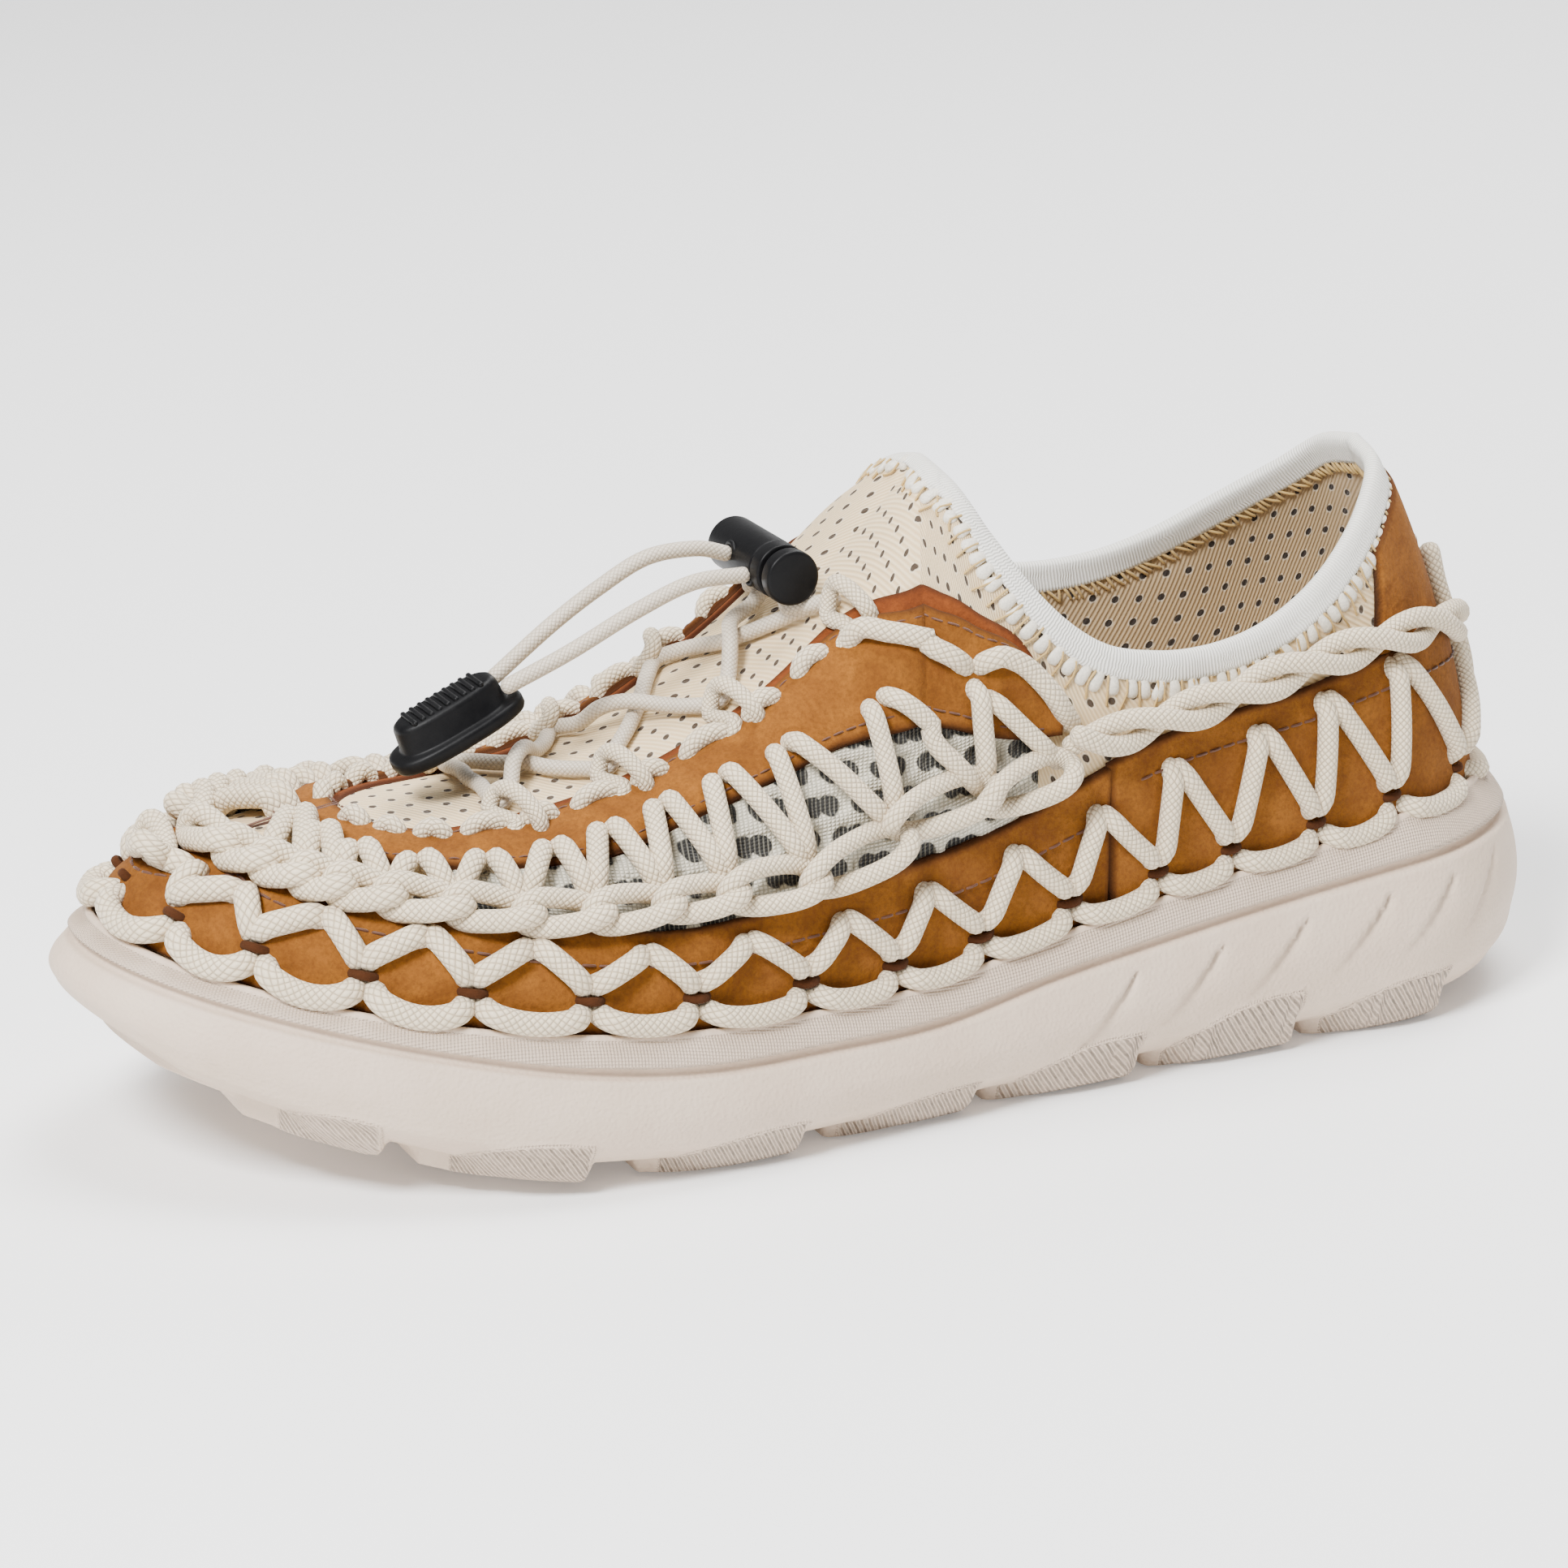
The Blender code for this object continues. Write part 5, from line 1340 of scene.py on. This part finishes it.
def make_foxing_cords():
    """The V's between the two rows of holes, and the scallops that hang on the sole's lip."""
    holes = foxing_holes()
    lows = [(t, a * MM, side) for t, a in LOWER_HOLES for side in (LATERAL, MEDIAL)]
    lows = [hole for hole in holes if hole in lows]
    build = Build()
    low, high = 0.3 * MM, FOXING_BASE + SUEDE + 0.72 * CORD_RADIUS
    for a, b in zip(holes, holes[1:] + holes[:1]):
        ends = []
        for here, other in ((a, b), (b, a)):
            phi, h = on_upper(here)
            far = on_upper(other)[0]
            step = (far - phi + np.pi) % TURN - np.pi
            ends.append([phi + (0.085 if here in lows else 0.07) * step, h])
        ends[1][0] = ends[0][0] + (ends[1][0] - ends[0][0] + np.pi) % TURN - np.pi
        t = share(ends[0][0])
        on_quarter = 0.5 * MM if t < QUARTER_FRONT else 0
        sausage(build, *ends, low, high + on_quarter, cord_radius(t))
    cord_done(build, "foxing_zigzag_cord", "foxing_zigzag")
    build = Build()
    for a, b in zip(lows, lows[1:] + lows[:1]):
        pa, pb = float(angle(a[0], a[2])), float(angle(b[0], b[2]))
        step = (pb - pa + np.pi) % TURN - np.pi
        u = np.linspace(0, 1, 25)
        phi = pa + step * (0.07 + 0.86 * u)
        t = share(phi)
        below = a[1] + (b[1] - a[1]) * u - 4.6 * MM
        height = below - (1.6 * MM + 0.9 * MM * (np.abs(t - 0.5) > 0.3)) * np.sin(np.pi * u) ** 0.7
        h = height_share(t, height)
        run = run_length(upper(phi, h))
        near = np.minimum(run, run[-1] - run)
        out = 0.3 * MM + (SUEDE + 0.85 * CORD_RADIUS) * round_rise(near, 3.6 * MM)
        lay_cord(build, np.stack([phi, h, out], -1)[::2], 1.02 * cord_radius(float(t.mean())))
    cord_done(build, "foxing_scallop_cord", "foxing_scallops")
    build = Build()
    for t, above, side in lows:
        across = np.linspace(-1, 1, 9)
        centre, step = angle(t, side), 1e-3
        turn = 3.0 * MM / np.linalg.norm(rim(centre + step, 0.0) - rim(centre, 0.0)) * step
        phi = centre + turn * across
        h = height_share(share(phi), above - 2.4 * MM)
        out = FOXING_BASE + 2.6 * MM * (1 - across**2)
        lay_cord(build, np.stack([phi, h, out], -1), 0.85 * MM, 0.7 * MM, sides=8, flat=0.7)
    build.done("foxing_bridges", [LOOKS["suede"]], slot="suede", weld=THREAD_WELD)


# Height of the chain's middle over the bootie, and how far its strands weave over and under it
CHAIN_HEIGHT = 4.7 * MM
CHAIN_WEAVE = 1.7 * MM


def make_vamp_cords():
    """The chain of interlocked links, and the V's that hang from the eyestay into it."""
    shares = [row[2] for row in VAMP_HOLES] + CHAIN_FRONT
    course = [(float(angle(t)), float(table(CHAIN, 1, t))) for t in shares]
    medial = [(TURN - phi, h) for phi, h in course[-2::-1]]
    stops = course + medial
    ridge = len(course) - 1
    build = Build()
    for k in range(len(stops) - 1):
        (pa, ha), (pb, hb) = stops[k], stops[k + 1]
        if k in (ridge - 1, ridge):
            ha, hb = min(ha, 0.995), min(hb, 0.995)
        place_a, place_b = lifted(pa, ha, CHAIN_HEIGHT), lifted(pb, hb, CHAIN_HEIGHT)
        along = place_b - place_a
        length = np.linalg.norm(along)
        along = along / length
        normal = normal_at((pa + pb) / 2, min((ha + hb) / 2, 0.98))
        across = np.cross(normal, along)
        across /= np.linalg.norm(across)
        normal = np.cross(along, across)
        centre = lifted((pa + pb) / 2, min((ha + hb) / 2, 0.99), CHAIN_HEIGHT)
        theta = np.linspace(0, TURN, 48, endpoint=False)
        thick = cord_radius(share(pa)) * 0.97
        long_half = length / 2 + 0.6 * CORD_RADIUS
        wide_half = (1.0 + 0.5 * ease(11 * MM, 17 * MM, length)) * CORD_RADIUS
        x = np.sign(np.cos(theta)) * np.abs(np.cos(theta)) ** 0.8 * long_half
        y = np.sign(np.sin(theta)) * np.abs(np.sin(theta)) ** 1.15 * wide_half
        z = -CHAIN_WEAVE * np.sin(2 * theta)
        bow = np.cos(theta) ** 2 * float(((place_a + place_b) / 2 - centre) @ normal)
        ring = centre + x[:, None] * along + y[:, None] * across + (z + bow)[:, None] * normal
        fat = thick * (0.96 + 0.04 * np.sin(theta))
        add_tube(build, ring, fat, normal, closed=True, phase=0.37 * k)
    cord_done(build, "vamp_chain_links", "vamp_chain")
    build = Build()
    for side in (LATERAL, MEDIAL):
        for k, (t, h, behind) in enumerate(VAMP_HOLES):
            ahead = shares[k + 1]
            for to, shift in ((behind, -1), (ahead, 1)):
                top = point_at(t + 0.0045 * shift, side, h)
                low_h = float(table(CHAIN, 1, to))
                start = float(angle(to, side)), float(raised(angle(to, side), low_h, 0.4 * CORD_RADIUS))
                ends = upper(*top), upper(*start)
                steps = np.linspace(0, 1, 13)
                chord = [ends[0] + (ends[1] - ends[0]) * u for u in steps]
                first, last = sorted((top[0], start[0]))
                spots = nearest_on_upper(chord, (first - 0.03, last + 0.03), (0.15, 1.0))
                phi, hh = (np.polyval(np.polyfit(steps, spot, 2), steps) for spot in spots)
                run = run_length(upper(phi, hh))
                tuck = ease(7 * MM, 0.0, run[-1] - run)
                out = 0.4 * MM + (SUEDE + CORD_RADIUS) * round_rise(run, DIP) - tuck * 2.4 * MM
                lay_cord(build, np.stack([phi, hh, out], -1), 0.95 * cord_radius(t))
    cord_done(build, "vamp_zigzag_cord", "vamp_zigzag")


# Where the throat cord goes in and out of the eyestay, as shares of its run, and where it hooks the
# elastic; the front goes on in short stretches
THROAT_STOPS = (0.31, 0.37, 0.43, 0.505, 0.565, 0.64, 0.70, 0.775, 0.84, 0.90, 0.965)

# Two longer stretches over each wing of the eyestay: share of the rim, share h
WING_CORDS = (
    ((0.549, 0.646), (0.538, 0.622), (0.522, 0.558), (0.504, 0.517), (0.484, 0.520), (0.472, 0.530)),
    ((0.464, 0.553), (0.457, 0.592), (0.448, 0.627), (0.431, 0.654), (0.414, 0.639), (0.394, 0.589)),
)


def make_throat_cord():
    """The running cord: stretches over the suede and, at four places a side, a loop round the elastic."""
    build = Build()
    high = EYESTAY_BASE + SUEDE + 0.45 * CORD_RADIUS
    for side in (LATERAL, MEDIAL):
        for a, b in zip(THROAT_STOPS, THROAT_STOPS[1:]):
            ends = []
            for run in (a + 0.014, b - 0.014):
                phi, h = eyestay_route(run if side == LATERAL else 2 - run, 0.86)
                ends.append((float(phi), float(h)))
            sausage(build, *ends, 0.0, high, 0.76 * CORD_RADIUS, sag=-0.008)
        for stretch in WING_CORDS:
            route = [(*point_at(t, side, h), EYESTAY_BASE + SUEDE + 0.6 * CORD_RADIUS) for t, h in stretch]
            route[0] = (*route[0][:2], 0.4 * MM)
            route[-1] = (*route[-1][:2], EYESTAY_BASE)
            lay_cord(build, route, 0.84 * CORD_RADIUS)
        for t, h in HOOKS:
            centre = point_at(t, side, h)
            edge = point_at(t - 0.004, side, h - 0.10)
            start = point_at(t - 0.016, side, h - 0.13)
            end = point_at(t + 0.014, side, h - 0.11)
            route = [
                (*start, -0.8 * MM),
                (start[0], start[1] + 0.02, 3.2 * MM),
                ((start[0] + centre[0]) / 2, h - 0.035, 5.6 * MM),
                (centre[0], h + 0.012, 4.4 * MM),
                ((end[0] + centre[0]) / 2, h - 0.02, 1.9 * MM),
                (*edge, 1.6 * MM),
                (*end, -0.8 * MM),
            ]
            lay_cord(build, route, 0.68 * CORD_RADIUS, FINE_STEP)
    cord_done(build, "throat_cord_braid", "throat_cord")


def make_collar_cord():
    """Two strands twisted round one another along the rear quarter and round the heel."""
    build = Build()
    phi = np.linspace(-angle(0.398), angle(0.398), 181)
    t = share(phi)
    h = table(COLLAR_CORD, 1, t, flat_start=True)
    run = run_length(upper(phi, h))
    centre = lifted(phi, h, QUARTER_BASE + SUEDE + 0.9 * CORD_RADIUS)
    normal = normal_at(phi, h)
    along = np.gradient(centre, axis=0)
    along /= np.linalg.norm(along, axis=1, keepdims=True)
    across = np.cross(normal, along)
    middle = run[-1] / 2
    for strand in (0, 1):
        turn = (run - middle) / (34 * MM) * TURN + strand * np.pi
        swing = 0.95 * CORD_RADIUS * np.cos(turn)
        lift = 0.62 * CORD_RADIUS * np.sin(turn)
        place = centre + swing[:, None] * across + lift[:, None] * normal
        line = even(np.hstack([place, normal]), CORD_STEP)
        add_tube(build, line[:, :3], 0.82 * CORD_RADIUS, line[:, 3:6])
    for side in (-1, 1):
        u = np.linspace(0, 1, 7)
        out = QUARTER_BASE + SUEDE + (0.9 + 0.25 * np.cos(9 * u + side)) * CORD_RADIUS
        route = np.stack([side * (0.10 + 0.05 * np.sin(3 * u)), 0.60 - 0.52 * u, out], -1)
        lay_cord(build, route, 0.9 * CORD_RADIUS, 0.9 * MM)
    cord_done(build, "collar_cord_twist", "collar_cord")


def make_binding():
    """The ribbed tape folded over the collar's edge."""
    fine = np.linspace(0, np.pi / 2, 1201)
    run = run_length(top_edge(fine))
    half = np.interp(np.linspace(0, run[-1], 150), run, fine)
    phi = np.concatenate([-half[:0:-1], half[:-1]])
    edge = lifted(phi, 1.0, 0.0)
    out = normal_at(phi, 1.0)
    out[0, 0] = 0
    out[0] /= np.linalg.norm(out[0])
    along = np.roll(edge, -1, axis=0) - np.roll(edge, 1, axis=0)
    along /= np.linalg.norm(along, axis=1, keepdims=True)
    up = np.cross(along, out)
    up /= np.linalg.norm(up, axis=1, keepdims=True)
    up *= np.sign(up[:, 2:].mean())
    window = (-2.2, 2.2), (0.6, 1.0)
    rows, run = [], 0.0
    thick = 0.55 * MM
    steps = (4.6, 4.45, 4.1, 3.5, 2.8, 2.1, 1.4, 0.8)
    for i, down in enumerate(steps):
        spot = nearest_on_upper(edge - up * down * MM, *window)
        soft = 0.15 * MM if i == 0 else thick * (0.6 if i == 1 else 1.0)
        rows.append(lifted(*spot, 0.2 * MM + soft))
    rows = [smooth_ring(r) for r in rows]
    wall = UPPER_WALL / 2 + thick
    middle = edge - out * UPPER_WALL / 2
    for a in np.radians([15, 40, 65, 90, 115, 140, 165]):
        rows.append(middle + out * wall * np.cos(a) + up * (0.1 * MM + wall * 0.8 * np.sin(a)))
    for down in (0.8, 1.8, 2.8, 3.8, 4.6, 4.8):
        spot = nearest_on_upper(edge - up * down * MM, *window)
        rows.append(smooth_ring(lifted(*spot, -UPPER_WALL - (0.15 * MM if down == 4.8 else thick))))
    points = np.stack(rows, axis=1)
    at = run_length(np.vstack([edge, edge[:1]]))
    across = run_length(points[0])
    uv = np.stack(np.broadcast_arrays(at[:, None], across[None, :]), -1) / MM
    build = Build()
    build.grid(points, uv, wrap_rows=True)
    build.done("collar_tape", [LOOKS["tape"]], slot="binding", replaces=["collar_binding"])
    return edge, up


def smooth_ring(points):
    """Evens out small steps along a closed row of points."""
    for _ in range(3):
        points = (np.roll(points, 1, axis=0) + 2 * points + np.roll(points, -1, axis=0)) / 4
    return points


# The seam under the tape: from pucker to pucker, and the puckers' top, their foot and the ticks' foot
# below the collar's edge
PUCKER_PITCH = 2.9 * MM
SEAM_DEPTHS = (4.5 * MM, 7.0 * MM, 10.0 * MM)


def make_collar_stitches(edge, up):
    """The flatlock seam under the tape: cream puckers, gold ticks between them, and gold stitches inside."""
    closed = np.vstack([edge, edge[:1]])
    run = run_length(closed)
    count = 2 * int(run[-1] / PUCKER_PITCH)
    at = np.interp(np.arange(count) * run[-1] / count, run, np.arange(len(closed)))
    pick = at.astype(int) % len(edge)
    window = (-2.2, 2.2), (0.45, 1.0)
    high, mid, low = (nearest_on_upper(edge[pick] - up[pick] * down, *window) for down in SEAM_DEPTHS)
    puckers, gold = Build(), Build()
    for k in range(count):
        n = (k + 1) % count
        normal = normal_at(high[0][k], high[1][k])
        if k % 2 == 0:
            a = lifted(high[0][k], high[1][k], 0.25 * MM)
            b = lifted(mid[0][k], mid[1][k], 0.1 * MM)
            tuft = even(np.array([a, (a + b) / 2 + normal * 0.2 * MM, b]), 0.4 * MM)
            add_tube(puckers, tuft, np.linspace(1.0, 1.35, len(tuft)) * MM, normal, sides=10, flat=0.5)
            c = lifted(low[0][n], low[1][n], 0.25 * MM)
            d = lifted(mid[0][n], mid[1][n], 0.6 * MM)
            e = lifted(high[0][n], high[1][n], 0.8 * MM)
            add_tube(gold, even(np.array([e, d, c]), 1.2 * MM), 0.24 * MM, normal, sides=5)
        ins = lifted(high[0][k], high[1][k], -UPPER_WALL - 0.3 * MM)
        inn = lifted(mid[0][n], mid[1][n], -UPPER_WALL - 0.3 * MM)
        across = even(np.array([ins, (ins + inn) / 2 - normal * 0.3 * MM, inn]), 1.2 * MM)
        add_tube(gold, across, 0.32 * MM, normal, sides=5)
    puckers.done("collar_puckers", [LOOKS["thread"]], slot="binding", weld=THREAD_WELD)
    gold.done("collar_gold_stitches", [LOOKS["gold"]], slot="cord", weld=THREAD_WELD)


def add_stitches(build, phi, h, out, length=2.2 * MM, gap=0.9 * MM, radius=0.26 * MM):
    """A row of stitches along a line on the surface, each a short thread that dips at its ends."""
    line = np.stack([phi, h], -1)
    run = run_length(upper(phi, h))
    at = 0.5 * MM
    while at + length < run[-1]:
        u = np.linspace(0, 1, 5)
        where = at + length * u
        a, b = np.interp(where, run, line[:, 0]), np.interp(where, run, line[:, 1])
        lift = out + 0.22 * MM * np.sin(np.pi * u) - 0.12 * MM
        add_tube(build, lifted(a, b, lift), radius, normal_at(a, b), sides=5)
        at += length + gap


def make_stitches():
    """Brown seams along the foxing, the rear quarter, both edges of the eyestay and the heel's strip."""
    build = Build()
    ahead = QUARTER_FRONT + 0.02
    front = np.linspace(angle(ahead), angle(ahead, MEDIAL), 400)
    h = foxing_share(share(front), FOXING_SEAM + 0.035)
    add_stitches(build, front, h, FOXING_BASE + SUEDE + 0.42 * MM)
    back = angle(QUARTER_FRONT - 0.015)
    rear = np.linspace(-back, back, 400)
    add_stitches(build, rear, foxing_share(share(rear), 0.80), QUARTER_BASE + SUEDE + 0.1 * MM)
    run = np.linspace(0.03, 1.97, 600)
    fade = ease(1.0, 0.93, np.minimum(run, 2 - run))
    for part, shift in ((1.0, -0.022), (0.0, 0.028)):
        phi, h = eyestay_route(run, part)
        h = np.minimum(h + shift * fade, 0.999)
        add_stitches(build, phi, h, EYESTAY_BASE + SUEDE, 1.7 * MM, 0.8 * MM, 0.2 * MM)
    h = np.linspace(0.66, 0.86, 60)
    for side in (-1, 1):
        add_stitches(build, side * 0.25 * (1 - 0.28 * (h - 0.66) / 0.3), h, HEEL_TAB_BASE + 1.2 * MM)
    build.done("brown_stitches", [LOOKS["brown"]], slot="suede", weld=THREAD_WELD)


def measured(forward, height, x=0.0):
    """A point given as millimetres from the sole's back, height and offset from the middle line."""
    return np.array([x * MM, forward * MM - HEEL_BACK, height * MM])


LOCK_CENTRE = measured(159.7, 97.6)
TAB_CENTRE = measured(222.0, 75.6)
LACING_ENDS = (158.5, 90.4)
LACING_SPREAD = 8.5
FREE_RUN_MEDIAL = (
    (171.4, 100.2, 4.2),
    (181.2, 99.6, 4.4),
    (191.0, 95.0, 4.2),
    (200.7, 89.2, 3.8),
)
FREE_RUN_LATERAL = (
    (175.8, 96.4, -4.2),
    (187.1, 92.4, -4.2),
    (200.0, 86.2, -3.8),
)
TAB_GRIP = 0.79


def make_elastic(tab):
    """The elastic laced through the throat cord's loops, and the two free runs from the lock to the tab."""
    low = ELASTIC_RADIUS + 2 * GAP
    over = 2 * ELASTIC_RADIUS + 2 * GAP
    stops = [(side, *hook) for side, hook in zip((LATERAL, MEDIAL, LATERAL, MEDIAL), HOOKS)]
    stops += [(-side, t, h) for side, t, h in stops[::-1]]
    window = (angle(0.5), angle(0.5, MEDIAL)), (0.6, 1.0)
    points = [measured(*LACING_ENDS, -LACING_SPREAD)]
    for i, (a, b) in enumerate(zip(stops, stops[1:])):
        ends = [upper(angle(t, side), h) for side, t, h in (a, b)]
        along = np.linspace(0, 1, 7) if i == 6 else np.linspace(0, 1, 7)[:-1]
        chord = [ends[0] + (ends[1] - ends[0]) * u for u in along]
        rise = ease(0.1, 0.4, along) * (1 - ease(0.45, 0.75, along)) * (i > 3)
        points += list(lifted(*nearest_on_upper(chord, *window, axes=2), low + over * rise))
    points.append(measured(*LACING_ENDS, LACING_SPREAD))
    build = Build()
    line = even(points, FINE_STEP)
    for _ in range(2):
        line[1:-1] = (line[:-2] + 2 * line[1:-1] + line[2:]) / 4
    add_tube(build, line, ELASTIC_RADIUS, np.array([0.0, 0.25, 1.0]), sides=14)
    for side in (LATERAL, MEDIAL):
        back = [
            measured(*LACING_ENDS, side * LACING_SPREAD),
            measured(158.8, 92.6, side * 7.0),
            measured(159.3, 95.5, side * 5.0),
        ]
        add_tube(build, even(back, FINE_STEP), ELASTIC_RADIUS, np.array([0.0, 1.0, 0.3]), sides=14)
    cord_done(build, "elastic_lacing_braid", "elastic_lacing", "elastic")
    reach = TAB_GRIP * TAB_LENGTH / 2 + 2 * GAP
    spread, lift = 4 * MM, 1 * MM
    for name, rows, side in (
        ("elastic_run_medial", FREE_RUN_MEDIAL, MEDIAL),
        ("elastic_run_lateral", FREE_RUN_LATERAL, LATERAL),
    ):
        start = LOCK_CENTRE + (side * spread, LOCK_RADIUS + 1.5 * GAP, side * lift)
        end = TAB_CENTRE + (
            side * 0.8 * spread,
            -reach * np.cos(TAB_TILT) + lift * np.sin(TAB_TILT),
            reach * np.sin(TAB_TILT) + lift * np.cos(TAB_TILT),
        )
        line = even([start, *(measured(*row) for row in rows), end], 0.8 * MM)
        build = Build()
        add_tube(build, line, ELASTIC_RADIUS, np.array([0.0, 0.3, 1.0]), sides=16)
        obj = cord_done(build, name + "_braid", name, "elastic")


def add_turned(build, profile, centre, steps=72):
    """A solid of revolution about an axis along -X, from (radius, distance towards -X) pairs."""
    a = np.arange(steps) * TURN / steps
    rows = []
    for radius, along in profile:
        radius = max(radius, 0.00002)
        ring = np.stack([np.full(steps, -along), radius * np.cos(a), radius * np.sin(a)], -1)
        rows.append(np.asarray(centre) + ring)
    points = np.stack(rows)
    run = run_length(np.array(profile))
    uv = np.stack(np.broadcast_arrays(np.arange(steps + 1) / steps, run[:, None] / MM), -1)
    build.grid(points, uv, wrap_columns=True)


def rounded(corner_list, radius=0.5 * MM, steps=4):
    """A profile with its inner corners rounded off."""
    points = [np.array(p, float) for p in corner_list]
    result = [points[0]]
    for a, b, c in zip(points, points[1:], points[2:]):
        reach = min(radius, 0.45 * np.linalg.norm(b - a), 0.45 * np.linalg.norm(c - b))
        p = b + (a - b) / np.linalg.norm(a - b) * reach
        q = b + (c - b) / np.linalg.norm(c - b) * reach
        for u in np.linspace(0, 1, steps):
            result.append((1 - u) ** 2 * p + 2 * u * (1 - u) * b + u**2 * q)
    result.append(points[-1])
    return result


def plastic_done(build, name, node, body="shoe"):
    return build.done(name, [LOOKS["plastic"]], body, slot="plastic", replaces=[node], weld=PLASTIC_WELD)


def make_lock():
    """The cord lock: a barrel with a cord sleeve, and the push button at its lateral end."""
    r, end = LOCK_RADIUS, LOCK_LENGTH / 2
    front = end - LOCK_CAP - LOCK_TRAVEL - GAP
    build = Build()
    bore = 3.2 * MM
    barrel = [(0, front - 2 * MM), (bore, front - 2 * MM), (bore, front), (r, front)]
    barrel += [(r, front - 3.2 * MM), (r - 0.25 * MM, front - 3.5 * MM), (r, front - 3.8 * MM)]
    barrel += [(r, -end), (0, -end)]
    add_turned(build, rounded(barrel), LOCK_CENTRE)
    for side in (LATERAL, MEDIAL):
        mouth = LOCK_CENTRE + (side * 4 * MM, LOCK_RADIUS - 0.9 * MM, side * 1 * MM)
        ring = []
        for a in np.linspace(0, TURN, 28, endpoint=False):
            ring.append(mouth + (1.95 * MM * np.cos(a), 0.25 * MM, 1.95 * MM * np.sin(a)))
        add_tube(build, ring, 0.45 * MM, np.array([0.0, 1.0, 0.0]), sides=8, closed=True)
    plastic_done(build, "lock_barrel_plastic", "lock_barrel")
    build = Build()
    stem, inside = bore - GAP, front - 1.5 * MM
    button = [(0, end), (r, end), (r, end - LOCK_CAP), (stem, end - LOCK_CAP), (stem, inside), (0, inside)]
    add_turned(build, rounded(button, 0.7 * MM), LOCK_CENTRE)
    plastic_done(build, "lock_button_plastic", "lock_button", "button")


def make_tab():
    """The end tab: an oval plate under a grip with ribs across its top."""
    c, s = math.cos(TAB_TILT), math.sin(TAB_TILT)

    def world(local):
        x, y, z = local[..., 0], local[..., 1], local[..., 2]
        return TAB_CENTRE + np.stack([x, y * c + z * s, -y * s + z * c], -1)

    sections = (
        (-0.50, 0.80),
        (-0.50, 0.88),
        (-0.46, 0.97),
        (-0.40, 1.00),
        (-0.26, 1.00),
        (-0.20, 0.98),
        (-0.17, 0.90),
        (-0.16, 0.78),
        (-0.12, 0.74),
        (0.30, 0.70),
        (0.38, 0.67),
        (0.43, 0.60),
        (0.44, 0.50),
    )
    a = np.arange(80) * TURN / 80
    rows = [np.stack([0 * a, 0 * a, 0 * a - 0.5 * TAB_HEIGHT], -1)]
    for height, size in sections:
        x = np.sign(np.cos(a)) * np.abs(np.cos(a)) ** 0.7 * TAB_WIDTH / 2 * size
        y = np.sign(np.sin(a)) * np.abs(np.sin(a)) ** 0.7 * TAB_LENGTH / 2 * (0.25 + 0.75 * size)
        rows.append(np.stack([x, y, 0 * a + height * TAB_HEIGHT], -1))
    rows.append(np.stack([0 * a, 0 * a, 0 * a + 0.44 * TAB_HEIGHT], -1))
    points = world(np.stack(rows))
    build = Build()
    build.grid(points, np.zeros((len(rows), len(a) + 1, 2)), wrap_columns=True, flip=True)
    for k in range(9):
        y = (-0.26 + 0.065 * k) * TAB_LENGTH
        half = 0.24 * TAB_WIDTH
        line = world(np.array([(x, y, 0.44 * TAB_HEIGHT) for x in np.linspace(-half, half, 7)]))
        add_tube(build, line, 0.55 * MM, np.array([0.0, s, c]), sides=8)
    return plastic_done(build, "end_tab_plastic", "end_tab")


# Camera, found from the photograph: angles in degrees, target and distance in metres
AZIMUTH, ELEVATION = 245.0, 18.5
TARGET = Vector((0.004, 0.1075, 0.052))
DISTANCE = 1.0
LENS = 121.9


def make_camera():
    a, e = math.radians(AZIMUTH), math.radians(ELEVATION)
    back = Vector((math.sin(a) * math.cos(e), -math.cos(a) * math.cos(e), math.sin(e)))
    data = bpy.data.cameras.new("camera")
    data.lens = LENS
    data.sensor_width = 36
    camera = bpy.data.objects.new("camera", data)
    camera.location = TARGET + back * DISTANCE
    camera.rotation_mode = "QUATERNION"
    camera.rotation_quaternion = (-back).to_track_quat("-Z", "Y")
    bpy.context.scene.collection.objects.link(camera)
    bpy.context.scene.camera = camera


def area_light(name, place, size, power, colour=(1, 1, 1)):
    data = bpy.data.lights.new(name, "AREA")
    data.shape = "RECTANGLE"
    data.size, data.size_y = size
    data.energy = power
    data.color = colour
    light = bpy.data.objects.new(name, data)
    light.location = place
    light.rotation_mode = "QUATERNION"
    light.rotation_quaternion = (TARGET - light.location).to_track_quat("-Z", "Y")
    bpy.context.scene.collection.objects.link(light)


def make_studio():
    """A pale floor, and soft light from above and both sides."""
    bpy.ops.mesh.primitive_plane_add(size=12, location=(0, 0, -0.0002))
    floor = bpy.context.object
    floor.name = "floor"
    look = Shader("floor_paper", (0.92, 0.92, 0.92), 0.9, Emission_Color=(1, 1, 1, 1), Emission_Strength=0.16)
    floor.data.materials.append(look.material)
    world = bpy.data.worlds.new("studio")
    world.use_nodes = True
    world.node_tree.nodes["Background"].inputs[0].default_value = (1, 1, 1, 1)
    world.node_tree.nodes["Background"].inputs[1].default_value = 0.42
    bpy.context.scene.world = world
    area_light("key", Vector((-0.6, 1.0, 1.25)), (0.45, 0.45), 58)
    area_light("top", Vector((0.1, -0.2, 1.6)), (0.9, 0.9), 34)
    area_light("rim", Vector((0.9, -0.8, 0.9)), (0.7, 0.7), 10)


make_camera()
make_elastic(make_tab())
make_sole()
make_insole()
make_bootie()
make_foxing()
make_eyestay()
make_windows()
make_foxing_cords()
make_vamp_cords()
make_throat_cord()
make_collar_cord()
make_collar_stitches(*make_binding())
make_stitches()
make_lock()
make_studio()
